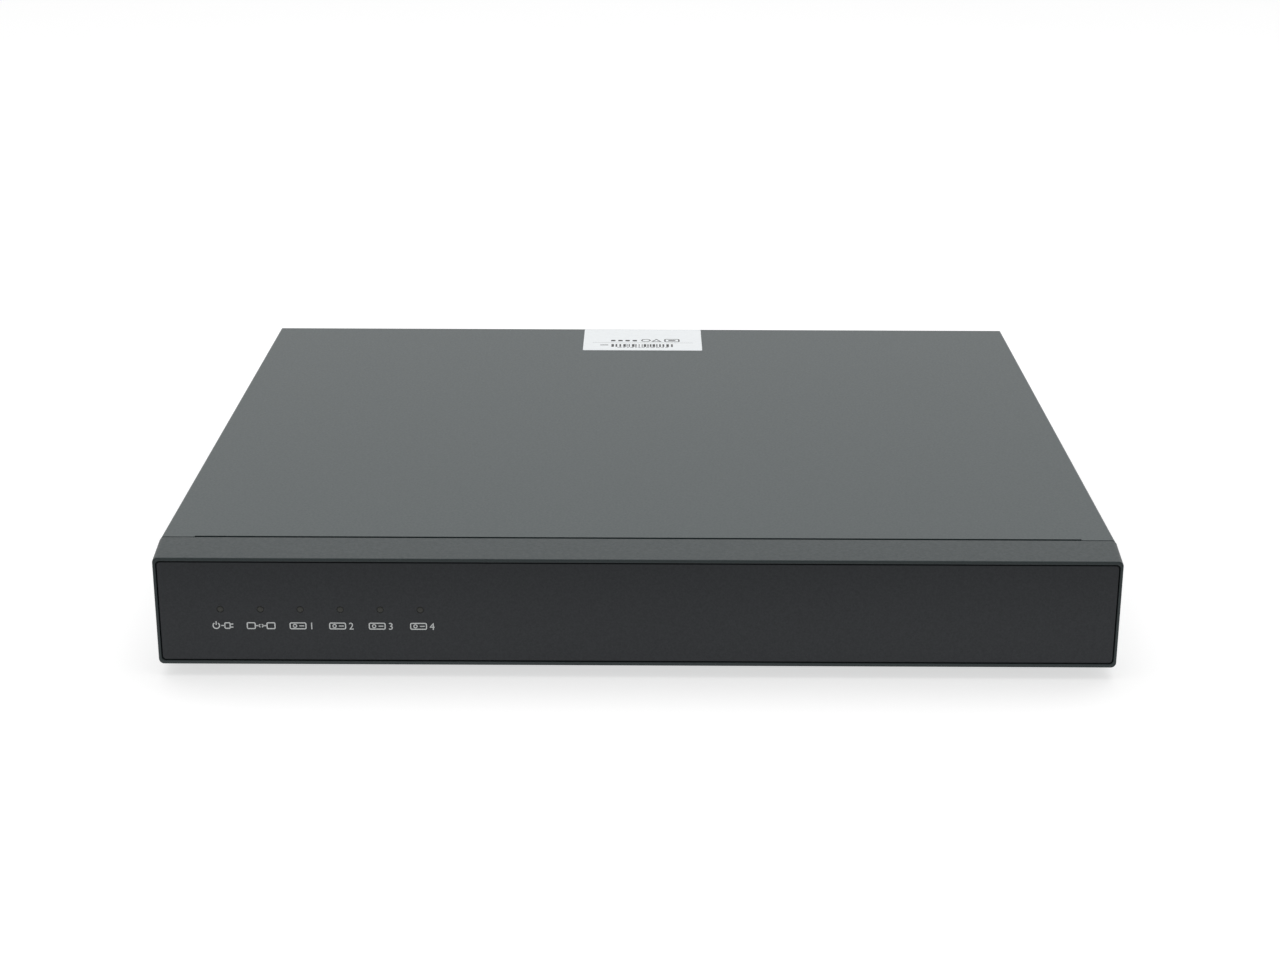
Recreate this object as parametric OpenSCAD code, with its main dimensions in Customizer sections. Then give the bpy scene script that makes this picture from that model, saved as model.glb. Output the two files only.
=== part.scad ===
// Desktop video recorder: a folded steel case with a plastic bezel, four hard drives,
// a main board with its rear connectors, an open-frame power supply and two fans.
// The case stands on its feet at z = 0, its front faces -Y and its connectors face +Y.

/* [Case] */
// Width over the sides of the top cover
case_w = 440; // [438:1:446]
// Depth from the face of the bezel to the back of the cover
case_d = 390; // [388:1:396]
// Height of the case without its feet
case_h = 52; // [51:0.5:56]
// Thickness of the folded sheet steel
sheet = 1; // [0.8:0.1:1]
// Outside radius of the cover's folds
fold_r = 1.2; // [1.1:0.1:1.8]
// Height of the rubber feet
foot_h = 6; // [4:0.5:9]
// Number of vent slots in each group on the sides
vent_count = 16; // [8:1:17]

/* [Bezel] */
// Depth of the bezel
bezel_d = 26.7; // [25:0.1:26.7]
// How far each side of the bezel draws in from back to front
bezel_draw = 2; // [0.5:0.5:3]
// Thickness of the bezel's walls
bezel_wall = 2.2; // [1.8:0.1:2.4]
// Width of the rim at each side of the front panel
rim_side = 1.3; // [1:0.1:2]
// Width of the rim above and below the front panel
rim_top = 1.7; // [1.2:0.1:2.5]
// Gap between the rim and the front panel
groove = 0.5; // [0.3:0.1:0.8]
// Distance between the centres of the status lights
light_pitch = 18.15; // [16:0.05:19]
// Height of the status lights above the underside of the case
light_z = 27; // [24:0.5:30]

/* [Drives] */
// Number of hard drives side by side
drive_count = 4; // [4]
// Distance between the centres of the hard drives
drive_pitch = 105; // [104:0.5:105]

/* [Rear] */
// Distance between the columns of coaxial jacks
jack_pitch = 15.2; // [15:0.1:15.2]
// How far the coaxial jacks stand out behind the cover
jack_reach = 10; // [9:0.5:12]
// Resting tilt of the power rocker
rocker_tilt = 10; // [6:1:11]

/* [Hidden] */
$fn = 48;

steel_black = "#34383a";
steel_zinc = "#b9bcbd";
nickel = "#c8c9cb";
plastic_black = "#26282a";
board_green = "#1d5a38";
terminal_green = "#2f9a4c";
aluminium = "#a9adb0";

// Everything below is drawn in the case's own frame: y = 0 is the face of the bezel,
// z = 0 the underside of the case. in_case() moves that frame to the middle of the part.
front_y = -(case_d + jack_reach) / 2;
skin_clear = 0.3;                          // air between the cover and the tray
tray_w = case_w - 2 * (sheet + skin_clear);
tray_y = bezel_d + skin_clear;
cover_y = bezel_d + 0.5;
cover_skirt_z = 0.6;                       // the cover's sides stop just above the underside
cover_gap_w = 409;                         // width of the shadow gap behind the bezel
cover_gap = 1.4;
flange_h = 9;                              // the cover's fold down over the rear panel
panel_out_y = case_d - sheet - 0.2;        // outer face of the rear panel
panel_in_y = panel_out_y - sheet;
wall_top = case_h - sheet - 1.6;           // top of the tray's walls
flange_side_h = 15;

bezel_back_w = case_w + 1.4;
bezel_front_w = bezel_back_w - 2 * bezel_draw;
corner_r = 2.4;
panel_t = 2;
panel_in = 0.3;                            // the front panel sits back from the rim
recess_w = bezel_front_w - 2 * rim_side;
recess_h = case_h - 2 * rim_top;
front_wall_y = panel_in + panel_t + 0.1;
light_count = 6;
light_x0 = -189.3;
light_r = 1.45;
led_board_y = 10;
boss_xs = [-190, -70, 70, 190];            // bosses for the screws through the tray
boss_z = 10;
peg_xs = [-205, -68.3, 68.3, 205];         // pegs that hold the front panel
peg_zs = [12, 40];
pcb_t = 1.6;

foot_r = 9;
foot_xs = [-185, 185];
foot_ys = [62, case_d - 48];
ear_ys = [48, 68];                         // holes for rack ears, in each side
ear_zs = [12, 40];
ear_r = 1.65;
vent_ys = [92, 262];                       // where each group of side slots starts
vent_pitch = 6;

drive_w = 101.6;
drive_l = 147;
drive_h = 26.1;
drive_y = 40;
boss_h = 3;
drive_z = sheet + boss_h;
lid_z = drive_h - 2;                       // top of a casting, under its lid
bay_z = 6;
bay_r = 48;
spindle_y = 52;
spindle_r = 5;
pivot = [-30, 106];
pivot_r = 3;
arm_l = 48;
arm_angle = -76;                           // arms parked beside the hub
disk_r = 47.4;
disk_t = 1.3;
disk_z = 10;
disk_pitch = 3.8;
drive_holes_x = 44.45;
drive_holes_y = [41.3, 117.5];
socket_x = -16;                            // middle of a drive's socket
data_x = -1;                               // the data plug and power plug on it
power_x = -26;
plug_z = drive_z + 4.5;
plug_l = 17;

board_x0 = -211;
board_x1 = 86;
board_y0 = 232;
board_z = 7;
board_top = board_z + pcb_t;
board_holes = [[-180, 238], [-40, 238], [80, 238], [-204, 358], [-60, 358], [80, 358]];
psu_x0 = 139;
psu_x1 = 213;
psu_y1 = 364;
psu_holes = [[143, 246], [209, 246], [143, 358], [209, 358]];
soc = [-60, 304];
header_xs = [-130, -95, 5, 40];            // upright data sockets on the main board
header_y = 244;
header_h = 8;
loom_y = 207;
loom_z = 18;

jack_x0 = -94;
jack_cols = 8;
jack_zs = [17, 33];
jack_r = 4.85;
audio_x = -76;
analogue_x = -50;
analogue_z = 16.4;
digital_x = -22;
peripheral_x = -3;
external_x = 14;
lan_x = 33;
reset_x = 45.5;
reset_z = 13;
terminal_x = 66;
terminal_n = 8;
terminal_pitch = 3.81;
sys_fan = [110, 23.5];                     // x and z of the fan's axis
sys_fan_t = 20;
fan_s = 40;
fan_hole = 16;
rocker_x = 147;
inlet_x = 187;
power_z = 20;
rocker_pivot_y = panel_out_y - 3;
inlet_flange_t = 3;
ground = [134.5, 12];

function drive_x(i) = (i - (drive_count - 1) / 2) * drive_pitch;
function unit(v) = v / norm(v);

// ---------------------------------------------------------------- shared shapes

module in_case() translate([0, front_y, foot_h]) children();

// Rectangle with round corners, about its middle.
module rounded(w, h, r) {
  square([w - 2 * r, h], center = true);
  square([w, h - 2 * r], center = true);
  for (x = [-1, 1], y = [-1, 1]) translate([x * (w / 2 - r), y * (h / 2 - r)]) circle(r);
}

// Slot with round ends, upright, about its middle.
module slot(w, h) {
  square([w, h - w], center = true);
  for (y = [-1, 1]) translate([0, y * (h - w) / 2]) circle(w / 2);
}

// A flat shape drawn in x and z, as thick as t from y towards the rear.
module across(y, t) translate([0, y + t, 0]) rotate([90, 0, 0]) linear_extrude(t) children();

// A flat shape drawn in y and z, cut or built through the whole width.
module through_sides(w) rotate([90, 0, 90]) translate([0, 0, -w / 2]) linear_extrude(w) children();

// A round bar along +Y from [x, y, z].
module bar_y(p, r, l) translate(p) rotate([-90, 0, 0]) cylinder(r = r, h = l);

// Box by its corner and size, with x about the middle.
module block(x, y, z, size) translate([x - size[0] / 2, y, z]) cube(size);

// Screw along +Z: the underside of the head is at z = 0 and the shank points to -Z.
module screw(shank_r, shank_l, head_r, head_h) {
  difference() {
    cylinder(r = head_r, h = head_h);
    for (a = [0, 90]) rotate(a) translate([-head_r * 0.55, -0.35, head_h * 0.45])
      cube([head_r * 1.1, 0.7, head_h]);
  }
  translate([0, 0, -shank_l]) cylinder(r = shank_r, h = shank_l + 0.01);
}

// Smooth line through points: a Catmull-Rom curve with n steps between two points.
function curve(p, n) = concat(
  [for (i = [0 : len(p) - 2], k = [0 : n - 1])
    let (a = p[max(i - 1, 0)], b = p[i], c = p[i + 1], d = p[min(i + 2, len(p) - 1)], t = k / n)
      0.5 * (2 * b + (c - a) * t + (2 * a - 5 * b + 4 * c - d) * t * t
        + (3 * b - 3 * c + d - a) * t * t * t)],
  [p[len(p) - 1]]);

// Directions along a smooth line through points p, and side vectors that turn with it as
// little as they can. The ends point exactly along the first and last stretch of p.
function tangents(q, p) = concat([unit(p[1] - p[0])],
  [for (i = [1 : len(q) - 2]) unit(q[i + 1] - q[i - 1])],
  [unit(p[len(p) - 1] - p[len(p) - 2])]);
function carried(t, s, i = 0) = i == len(t) ? [] :
  let (v = unit(s - (s * t[i]) * t[i])) concat([v], carried(t, v, i + 1));

// Cable with a flat or round section, w wide along side and h thick, along a smooth line.
module cable(points, w, h, side, sides = 4, steps = 4) {
  line = curve(points, steps);
  t = tangents(line, points);
  s = carried(t, side);
  turn = sides == 4 ? 45 : 0;
  grow = sides == 4 ? sqrt(2) : 1;
  rings = [for (i = [0 : len(line) - 1], k = [0 : sides - 1])
    let (a = turn + 360 * k / sides)
      line[i] + s[i] * cos(a) * grow * w / 2 + cross(t[i], s[i]) * sin(a) * grow * h / 2];
  last = (len(line) - 1) * sides;
  polyhedron(rings, concat(
    [[for (k = [0 : sides - 1]) k]],
    [for (i = [0 : len(line) - 2], k = [0 : sides - 1])
      let (a = i * sides + k, b = i * sides + (k + 1) % sides) [a, a + sides, b + sides, b]],
    [[for (k = [sides - 1 : -1 : 0]) last + k]]));
}

// ---------------------------------------------------------------- case

// Cross-section of the bent cover in x and z.
module cover_section() difference() {
  union() {
    translate([-case_w / 2, cover_skirt_z]) square([case_w, case_h - fold_r - cover_skirt_z]);
    translate([-case_w / 2 + fold_r, case_h - 2 * fold_r])
      square([case_w - 2 * fold_r, 2 * fold_r]);
    for (x = [-1, 1]) translate([x * (case_w / 2 - fold_r), case_h - fold_r]) circle(fold_r);
  }
  translate([-case_w / 2 + sheet, -1]) square([case_w - 2 * sheet, case_h - sheet + 1]);
}

function flange_screw_xs() = [-case_w / 2 + 24, 66, case_w / 2 - 24];

module top_cover() color(steel_black) in_case() difference() {
  union() {
    across(cover_y, case_d - cover_y) cover_section();
    across(case_d - sheet, sheet) translate([0, case_h - flange_h / 2])
      square([case_w - 3, flange_h], center = true);
  }
  // shadow gap behind the bezel
  block(0, cover_y - 1, case_h - 2 * sheet, [cover_gap_w, cover_gap + 1 - 0.2, 3 * sheet]);
  // round the fold at the rear
  translate([-case_w / 2 - 1, case_d - fold_r, case_h - fold_r]) difference() {
    cube([case_w + 2, fold_r + 1, fold_r + 1]);
    rotate([0, 90, 0]) cylinder(r = fold_r, h = case_w + 2);
  }
  // vents, clearance for rack ears, and the rear screws
  through_sides(case_w + 2) {
    for (y0 = vent_ys, i = [0 : vent_count - 1]) translate([y0 + i * vent_pitch, 32]) slot(2.6, 18);
    for (y = ear_ys, z = ear_zs) translate([y, z]) circle(ear_r + 0.75);
  }
  for (x = flange_screw_xs()) bar_y([x, case_d - 2, case_h - flange_h / 2 - 1], 1.7, 3);
}

// Pan head screws that hold the cover's fold to the rear panel.
module cover_screws() color(steel_black) in_case()
  for (x = flange_screw_xs()) translate([x, case_d, case_h - flange_h / 2 - 1])
    rotate([-90, 0, 0]) screw(1.45, 6, 3, 2);

// Paper label on the cover's rear edge.
module cover_label() color("white") in_case()
  translate([1.2, case_d - fold_r - 47 / 2, case_h]) linear_extrude(0.15) rounded(70.7, 46, 0.8);

module base_tray() color(steel_zinc) in_case() difference() {
  union() {
    block(0, tray_y, 0, [tray_w, panel_out_y - tray_y, sheet]);
    for (x = [-1, 1]) {
      block(x * (tray_w - sheet) / 2, tray_y, 0, [sheet, panel_out_y - tray_y, flange_side_h]);
      block(x * (tray_w - sheet) / 2, tray_y, 0, [sheet, 62, wall_top]);
    }
    block(0, tray_y, 0, [tray_w, sheet, wall_top]);
    for (i = [0 : drive_count - 1], x = [-1, 1], y = drive_holes_y)
      translate([drive_x(i) + x * drive_holes_x, drive_y + y, 0]) cylinder(r = 5, h = drive_z);
  }
  // drive screws are let into the bosses from below
  for (i = [0 : drive_count - 1], x = [-1, 1], y = drive_holes_y)
    translate([drive_x(i) + x * drive_holes_x, drive_y + y, -1]) {
      cylinder(r = 1.95, h = drive_z + 2);
      cylinder(r = 4, h = 1 + 2.6);
    }
  for (x = foot_xs, y = foot_ys) translate([x, y, -1]) cylinder(r = 1.6, h = sheet + 2);
  for (p = concat(board_holes, psu_holes)) translate([p[0], p[1], -1])
    cylinder(r = 1.6, h = sheet + 2);
  // floor vents between the drives and under the boards
  for (x = [-140 : 40 : 140], i = [0 : 9]) translate([x, 196 + i * 3.2, -1])
    linear_extrude(sheet + 2) rotate(90) slot(1.6, 24);
  // the front wall: windows over the bezel's bosses, and a way through for the ribbon
  for (x = boss_xs) bar_y([x, tray_y - 1, boss_z], 1.6, sheet + 2);
  block(-211, tray_y - 1, 19, [9, sheet + 2, 15]);
  // rack ears
  through_sides(case_w) for (y = ear_ys, z = ear_zs) translate([y, z]) circle(ear_r);
}

// Four round feet, each with a recess for its screw.
module rubber_feet() color("#1b1c1d") in_case()
  for (x = foot_xs, y = foot_ys) translate([x, y, -foot_h]) rotate_extrude()
    polygon([[1.7, 2.6], [4.2, 2.6], [4.2, 0], [foot_r - 1.4, 0], [foot_r - 0.6, 0.8],
      [foot_r, foot_h], [1.7, foot_h]]);

// ---------------------------------------------------------------- bezel and lights

function bezel_w(y) = bezel_front_w + (bezel_back_w - bezel_front_w) * y / bezel_d;

// Tapered block of the bezel, from y0 to y1, drawn in by a wall thickness.
module bezel_block(y0, y1, wall) hull() for (y = [y0, y1])
  across(y, 0.01) translate([0, case_h / 2])
    rounded(bezel_w(y) - 2 * wall, case_h - 2 * wall, corner_r - wall * 0.5, $fn = 32);

module front_bezel() color(plastic_black) in_case() {
  difference() {
    union() {
      difference() {
        bezel_block(0, bezel_d - 0.01, 0);
        bezel_block(front_wall_y + 2, bezel_d + 1, bezel_wall);
      }
      // bosses for the screws through the tray, and for the board behind the lights
      for (x = boss_xs) bar_y([x, front_wall_y + 1, boss_z], 3.4, bezel_d - front_wall_y - 1);
      for (x = [light_x0 - 9, light_x0 + 5 * light_pitch + 9]) {
        bar_y([x, front_wall_y + 1, light_z], 2.4, led_board_y - front_wall_y - 1);
        bar_y([x, front_wall_y + 1, light_z], 1.1, led_board_y - front_wall_y + 1.8);
      }
      // tongue that the cover's front edge lies on
      block(0, bezel_d - 2, case_h - 2.3, [cover_gap_w - 3, 10, 1]);
    }
    across(-1, front_wall_y + 1) translate([0, case_h / 2]) rounded(recess_w, recess_h, corner_r - 0.6);
    for (i = [0 : light_count - 1])
      bar_y([light_x0 + i * light_pitch, 0, light_z], light_r + 0.15, front_wall_y + 3);
    for (x = boss_xs) bar_y([x, bezel_d - 9, boss_z], 1.35, 10);
    for (x = peg_xs, z = peg_zs) bar_y([x, front_wall_y - 1, z], 1.3, 4);
  }
}

// Flat plate in the bezel's recess, with a window for each light and pegs behind.
module front_panel() color("#2b2d2f") in_case() {
  difference() {
    across(panel_in, panel_t) translate([0, case_h / 2])
      rounded(recess_w - 2 * groove, recess_h - 2 * groove, corner_r - 0.8);
    for (i = [0 : light_count - 1])
      bar_y([light_x0 + i * light_pitch, 0, light_z], light_r + 0.05, panel_t + 1);
  }
  for (x = peg_xs, z = peg_zs) bar_y([x, panel_in + panel_t - 0.1, z], 1.15, 2.6);
}

module light_pipes() color("#6f716c") in_case() for (i = [0 : light_count - 1]) {
  bar_y([light_x0 + i * light_pitch, panel_in, light_z], light_r, led_board_y - 1.1 - panel_in);
  bar_y([light_x0 + i * light_pitch, front_wall_y + 2.05, light_z], 2.3, 0.9);
}

module led_board() color(board_green) in_case() difference() {
  block(light_x0 + 2.5 * light_pitch, led_board_y, light_z - 7, [118, 1.2, 14]);
  for (x = [light_x0 - 9, light_x0 + 5 * light_pitch + 9])
    bar_y([x, led_board_y - 1, light_z], 1.2, 4);
}

// Six lamps in front of the board and its plug behind.
module status_leds() color("#e9e6d2") in_case() {
  for (i = [0 : light_count - 1])
    block(light_x0 + i * light_pitch, led_board_y - 0.9, light_z - 1.5, [3, 0.9, 3]);
  block(light_x0, led_board_y + 1.2, light_z - 6, [6, 5, 12]);
}

// ---------------------------------------------------------------- drives

module at_drive(i) in_case() translate([drive_x(i), drive_y, drive_z]) children();

// Cast bodies, each with a round bay for the platters, a bay beside it for the head arms,
// the posts that both turn on, and a pocket below for the drive's board.
module drive_castings() color("#9a9c9e") for (i = [0 : drive_count - 1]) at_drive(i) {
  difference() {
    union() {
      block(0, 0, 0, [drive_w, drive_l, drive_h - 6]);
      block(0, 1.5, 0, [drive_w - 3, drive_l - 3, lid_z]);
    }
    translate([0, spindle_y, bay_z]) cylinder(r = bay_r, h = drive_h, $fn = 96);
    translate([-47, 70, bay_z]) cube([45, 68, drive_h]);
    block(0, 66, -1, [72, 76, 3.4]);
    block(socket_x, drive_l - 9, -1, [46, 12, 9.4]);
    for (x = [-1, 1], y = drive_holes_y)
      translate([x * drive_holes_x, y, -1]) cylinder(r = 1.85, h = 6);
  }
  translate([0, spindle_y, bay_z - 0.1]) cylinder(r = spindle_r, h = 15);
  translate([pivot[0], pivot[1], bay_z - 0.1]) cylinder(r = pivot_r, h = 15);
}

// Hub with three disks, which turns on the spindle post.
module platters(i) color("#d4d6d8") at_drive(i) translate([0, spindle_y, 0]) difference() {
  union() {
    translate([0, 0, bay_z + 1]) cylinder(r = 12.5, h = 14);
    for (k = [0 : 2]) translate([0, 0, disk_z + k * disk_pitch])
      cylinder(r = disk_r, h = disk_t, $fn = 96);
  }
  translate([0, 0, bay_z]) cylinder(r = spindle_r + 0.05, h = 20);
}

// Hub with an arm above and below each disk, and the flat coil that drives it.
module head_arms(i) color("#aeb1b4") at_drive(i) translate([pivot[0], pivot[1], 0])
  rotate(arm_angle) difference() {
    union() {
      translate([0, 0, bay_z + 1]) cylinder(r = 7, h = 14);
      for (k = [-1 : 2]) translate([0, 0, disk_z + k * disk_pitch + disk_t + 0.8])
        linear_extrude(disk_pitch - disk_t - 1.6) {
          polygon([[0, -5.5], [arm_l, -1.2], [arm_l, 1.2], [0, 5.5]]);
          translate([arm_l, 0]) circle(1.2);
        }
      translate([0, 0, disk_z + disk_pitch]) linear_extrude(3)
        polygon([[0, -5], [-24, -11], [-28, -7], [-28, 7], [-24, 11], [0, 5]]);
    }
    translate([0, 0, bay_z]) cylinder(r = pivot_r + 0.05, h = 20);
  }

// Pressed steel lids, each with a raised pan over the platters and one over the arms.
module drive_lids() color("#c3c5c6") for (i = [0 : drive_count - 1]) at_drive(i) {
  block(0, 2.5, lid_z, [drive_w - 5, drive_l - 5, 1]);
  translate([0, spindle_y, lid_z + 0.9]) cylinder(r = 43, h = drive_h - lid_z - 0.9, $fn = 96);
  translate([pivot[0], pivot[1] + 6, lid_z + 0.9]) cylinder(r = 12, h = 0.9);
}

module drive_boards() color(board_green) for (i = [0 : drive_count - 1]) at_drive(i)
  difference() {
    block(0, 67, 0.6, [70, 68, 1.2]);
    block(socket_x, drive_l - 14, 0, [47, 3, 4]);
  }

// Socket at the rear of each drive, with one tongue for data and one for power.
module drive_sockets() color(plastic_black) for (i = [0 : drive_count - 1]) at_drive(i) {
  difference() {
    block(socket_x, drive_l - 8.8, 0.6, [44, 8.8, 7.2]);
    for (s = [[data_x, 11.4], [power_x, 21.6]])
      block(s[0], drive_l - 6, 2, [s[1], 8, 4.6]);
  }
}

module drive_screws() color(nickel)
  for (i = [0 : drive_count - 1], x = [-1, 1], y = drive_holes_y)
    at_drive(i) translate([x * drive_holes_x, y, -1.45]) mirror([0, 0, 1])
      screw(1.75, 6, 3.5, 1.6);

// ---------------------------------------------------------------- main board

module main_board() color(board_green) in_case() difference() {
  translate([board_x0, board_y0, board_z])
    cube([board_x1 - board_x0, panel_in_y - 1 - board_y0, pcb_t]);
  for (p = board_holes) translate([p[0], p[1], board_z - 1]) cylinder(r = 1.7, h = 4);
}

// Hexagonal spacers under both boards, each on a threaded stem through the floor.
module standoffs() color("#c9b36a") in_case() for (p = concat(board_holes, psu_holes))
  translate([p[0], p[1], sheet]) difference() {
    union() {
      cylinder(r = 2.9, h = board_z - sheet, $fn = 6);
      translate([0, 0, -sheet]) cylinder(r = 1.5, h = sheet + 0.5);
    }
    translate([0, 0, 1.5]) cylinder(r = 1.5, h = board_z);
  }

// The case's pan head screws: both boards, the bezel's bosses, feet, fan and inlet.
module machine_screws() color(nickel) in_case() {
  for (p = concat(board_holes, psu_holes)) translate([p[0], p[1], board_top]) screw(1.4, 5, 2.75, 1.7);
  for (x = boss_xs) translate([x, tray_y + sheet, boss_z]) rotate([-90, 0, 0])
    screw(1.25, 8, 2.75, 1.7);
  for (x = foot_xs, y = foot_ys) translate([x, y, -foot_h + 2.6]) mirror([0, 0, 1])
    screw(1.5, foot_h - 2.6 + sheet + 2, 3, 1.8);
  for (x = [-1, 1], z = [-1, 1])
    translate([sys_fan[0] + x * fan_hole, panel_out_y, sys_fan[1] + z * fan_hole])
      rotate([-90, 0, 0]) screw(1.6, 12, 3, 1.8);
  for (x = [-20, 20]) translate([inlet_x + x, panel_out_y + inlet_flange_t, power_z])
    rotate([-90, 0, 0]) screw(1.5, 8, 2.8, 1.6);
}

// Processor, memory and video chips: x, y, width, depth and height of each.
chips = concat(
  [[soc[0], soc[1] - 13.5, 27, 27, 2]],
  [for (k = [0, 1]) [soc[0] - 40 + 80 * k, 296, 9, 13, 1.1]],
  [for (k = [0, 1]) [soc[0] - 40 + 80 * k, 313, 9, 13, 1.1]],
  [for (k = [0 : 3]) [-196 + k * 26, 336, 14, 14, 1.4]],
  [[31, 346, 9, 9, 1], [-24, 346, 7, 7, 1], [62, 318, 10, 13, 1.6], [-150, 286, 16, 16, 1.4]]);

module board_chips() color("#1e1f21") in_case()
  for (c = chips) block(c[0], c[1], board_top, [c[2], c[3], c[4]]);

// Finned block on the processor.
module soc_heatsink() color("#2c2e30") in_case() translate([soc[0], soc[1], board_top + 2])
  difference() {
    translate([-25, -25, 0]) cube([50, 50, 12]);
    for (k = [0 : 9]) translate([-25.8 + 2.4 + k * 5, -26, 3]) cube([3.4, 52, 12]);
  }

// Electrolytic capacitors on the main board: x, y, radius and height.
cans = concat(
  [for (k = [0 : 4]) [-190 + k * 17, 264, 3.2, 7.7]],
  [for (k = [0 : 3]) [-14 + k * 15, 268, 3.2, 7.7]],
  [for (k = [0 : 2]) [70, 262 + k * 13, 5, 12.5]],
  [for (k = [0 : 3]) [-200 + k * 26, 322, 2.5, 5.4]]);

module board_capacitors() color("#b7b9bb") in_case()
  for (c = cans) translate([c[0], c[1], board_top]) cylinder(r = c[2], h = c[3]);

// Cell lying on a solder tab, with a second tab over its top.
module coin_cell() color(nickel) in_case() translate([34, 300, board_top]) {
  translate([0, 0, 0.4]) cylinder(r = 10, h = 3.2);
  translate([-13, -2.5, 0]) cube([18, 5, 0.41]);
  translate([-5, -2.5, 3.59]) cube([18, 5, 0.41]);
  translate([12.6, -2.5, 0]) cube([0.4, 5, 4]);
}

// Upright data sockets, the power header, and small headers for the lights and fans.
module board_headers() color(plastic_black) in_case() {
  for (x = header_xs) block(x, header_y - 3.5, board_top, [16, 7, header_h]);
  block(64, 236, board_top, [16, 8, 9]);
  block(-203, 240, board_top, [10, 6, 7]);
  block(82, 300, board_top, [5, 7.5, 6]);
}

// ---------------------------------------------------------------- rear connectors

function jacks() = [for (i = [0 : jack_cols - 1], z = jack_zs) [jack_x0 - i * jack_pitch, z]];

// Stacked housings on the board, two jacks in each.
module bnc_housings() color(plastic_black) in_case() for (i = [0 : jack_cols - 1])
  block(jack_x0 - i * jack_pitch, panel_in_y - 20, board_top, [14.4, 19.9, 32.2]);

// Barrel of each coaxial jack, with its nut and two bayonet lugs.
module bnc_jacks() color(nickel) in_case() for (j = jacks()) difference() {
  union() {
    bar_y([j[0], panel_in_y, j[1]], 5.2, sheet + 0.2);
    translate([j[0], panel_out_y + 0.15, j[1]]) rotate([-90, 0, 0]) cylinder(r = 7, h = 2, $fn = 6);
    bar_y([j[0], panel_out_y, j[1]], jack_r, case_d + jack_reach - panel_out_y);
    block(j[0], case_d + jack_reach - 4.6, j[1] - 1, [2 * jack_r + 1.6, 2, 2]);
  }
  bar_y([j[0], panel_in_y + 0.6, j[1]], 4.05, 20);
}

module bnc_cores() color("#f0efe9") in_case() for (j = jacks()) difference() {
  union() {
    bar_y([j[0], panel_in_y + 0.6, j[1]], 4, 2);
    bar_y([j[0], panel_in_y + 0.6, j[1]], 2.35, case_d + jack_reach - 1.4 - panel_in_y);
  }
  bar_y([j[0], case_d + 2, j[1]], 0.75, 20);
}

// Two phono jacks, one over the other.
module audio_jacks() color(plastic_black) in_case() {
  block(audio_x, panel_in_y - 12, board_top, [10.4, 11.9, 25.4]);
  for (z = [15, 28]) difference() {
    union() {
      bar_y([audio_x, panel_in_y - 0.1, z], 4.9, sheet + 1.2);
      bar_y([audio_x, panel_in_y - 0.1, z], 4.1, sheet + 9);
    }
    bar_y([audio_x, panel_in_y + 1.6, z], 1.65, 12);
  }
}

module socket_section(w, h, lean) polygon([[-w / 2, h / 2], [w / 2, h / 2],
  [w / 2 - lean, -h / 2], [-w / 2 + lean, -h / 2]]);

// Fifteen-way socket with its flange and two hexagonal jack nuts.
module analogue_video_port() color(nickel) in_case() {
  block(analogue_x, panel_in_y - 14, board_top, [30.6, 13.9, 12.6]);
  translate([analogue_x, 0, analogue_z]) {
    across(panel_out_y + 0.1, 0.8) rounded(30.8, 12.4, 1.5);
    across(panel_in_y - 0.2, sheet + 6) socket_section(16.9, 8.3, 1.3);
    for (x = [-12.5, 12.5]) difference() {
      union() {
        bar_y([x, panel_in_y - 0.2, 0], 1.9, 3);
        translate([x, panel_out_y + 0.8, 0]) rotate([-90, 0, 0]) cylinder(r = 2.75, h = 5, $fn = 6);
      }
      bar_y([x, panel_out_y + 1.6, 0], 1.2, 6);
    }
  }
}

// Shielded socket: a sheet shell round a mouth, with a tongue inside.
module shell_socket(x, z, size, mouth, tongue, tongue_z) {
  y1 = panel_out_y + 0.6;
  difference() {
    block(x, y1 - size[1], z, size);
    block(x, y1 - mouth[1], z + (size[2] - mouth[2]) / 2, [mouth[0], mouth[1] + 1, mouth[2]]);
  }
  block(x, y1 - mouth[1] - 0.1, z + tongue_z, [tongue[0], mouth[1] - 1, tongue[1]]);
}

module digital_video_port() color(nickel) in_case()
  shell_socket(digital_x, board_top, [15, 12, 6], [14, 9, 4.6], [11.4, 1.2], 3);

module external_drive_port() color(nickel) in_case()
  shell_socket(external_x, board_top, [13.2, 14, 6.6], [11.8, 8.5, 4.8], [9.6, 1.4], 3.4);

module peripheral_ports() color(nickel) in_case() for (k = [0, 1])
  shell_socket(peripheral_x, board_top + k * 7.9, [14, 17, k == 0 ? 7.9 : 7.6], [12.4, 12, 5],
    [11, 1.8], k == 0 ? 3.9 : 3.8);

// Network socket, open at the mouth with a notch for the plug's latch.
module network_port() color(nickel) in_case() difference() {
  block(lan_x, panel_out_y + 0.6 - 21, board_top, [16, 21, 13.4]);
  block(lan_x, panel_out_y + 0.6 - 13, board_top + 3.4, [11.8, 14, 7.6]);
  block(lan_x, panel_out_y + 0.6 - 13, board_top + 1.6, [6, 14, 4]);
}

terminal_w = terminal_n * terminal_pitch + 1.2;

// Header on the board and the screw terminal plug that pulls out of it.
module terminal_header() color(terminal_green) in_case() difference() {
  block(terminal_x, panel_in_y - 10, board_top, [terminal_w + 2, 9.9, 11.4]);
  block(terminal_x, panel_in_y - 8.4, board_top + 1.6, [terminal_w - 0.8, 12, 8.4]);
}

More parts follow.
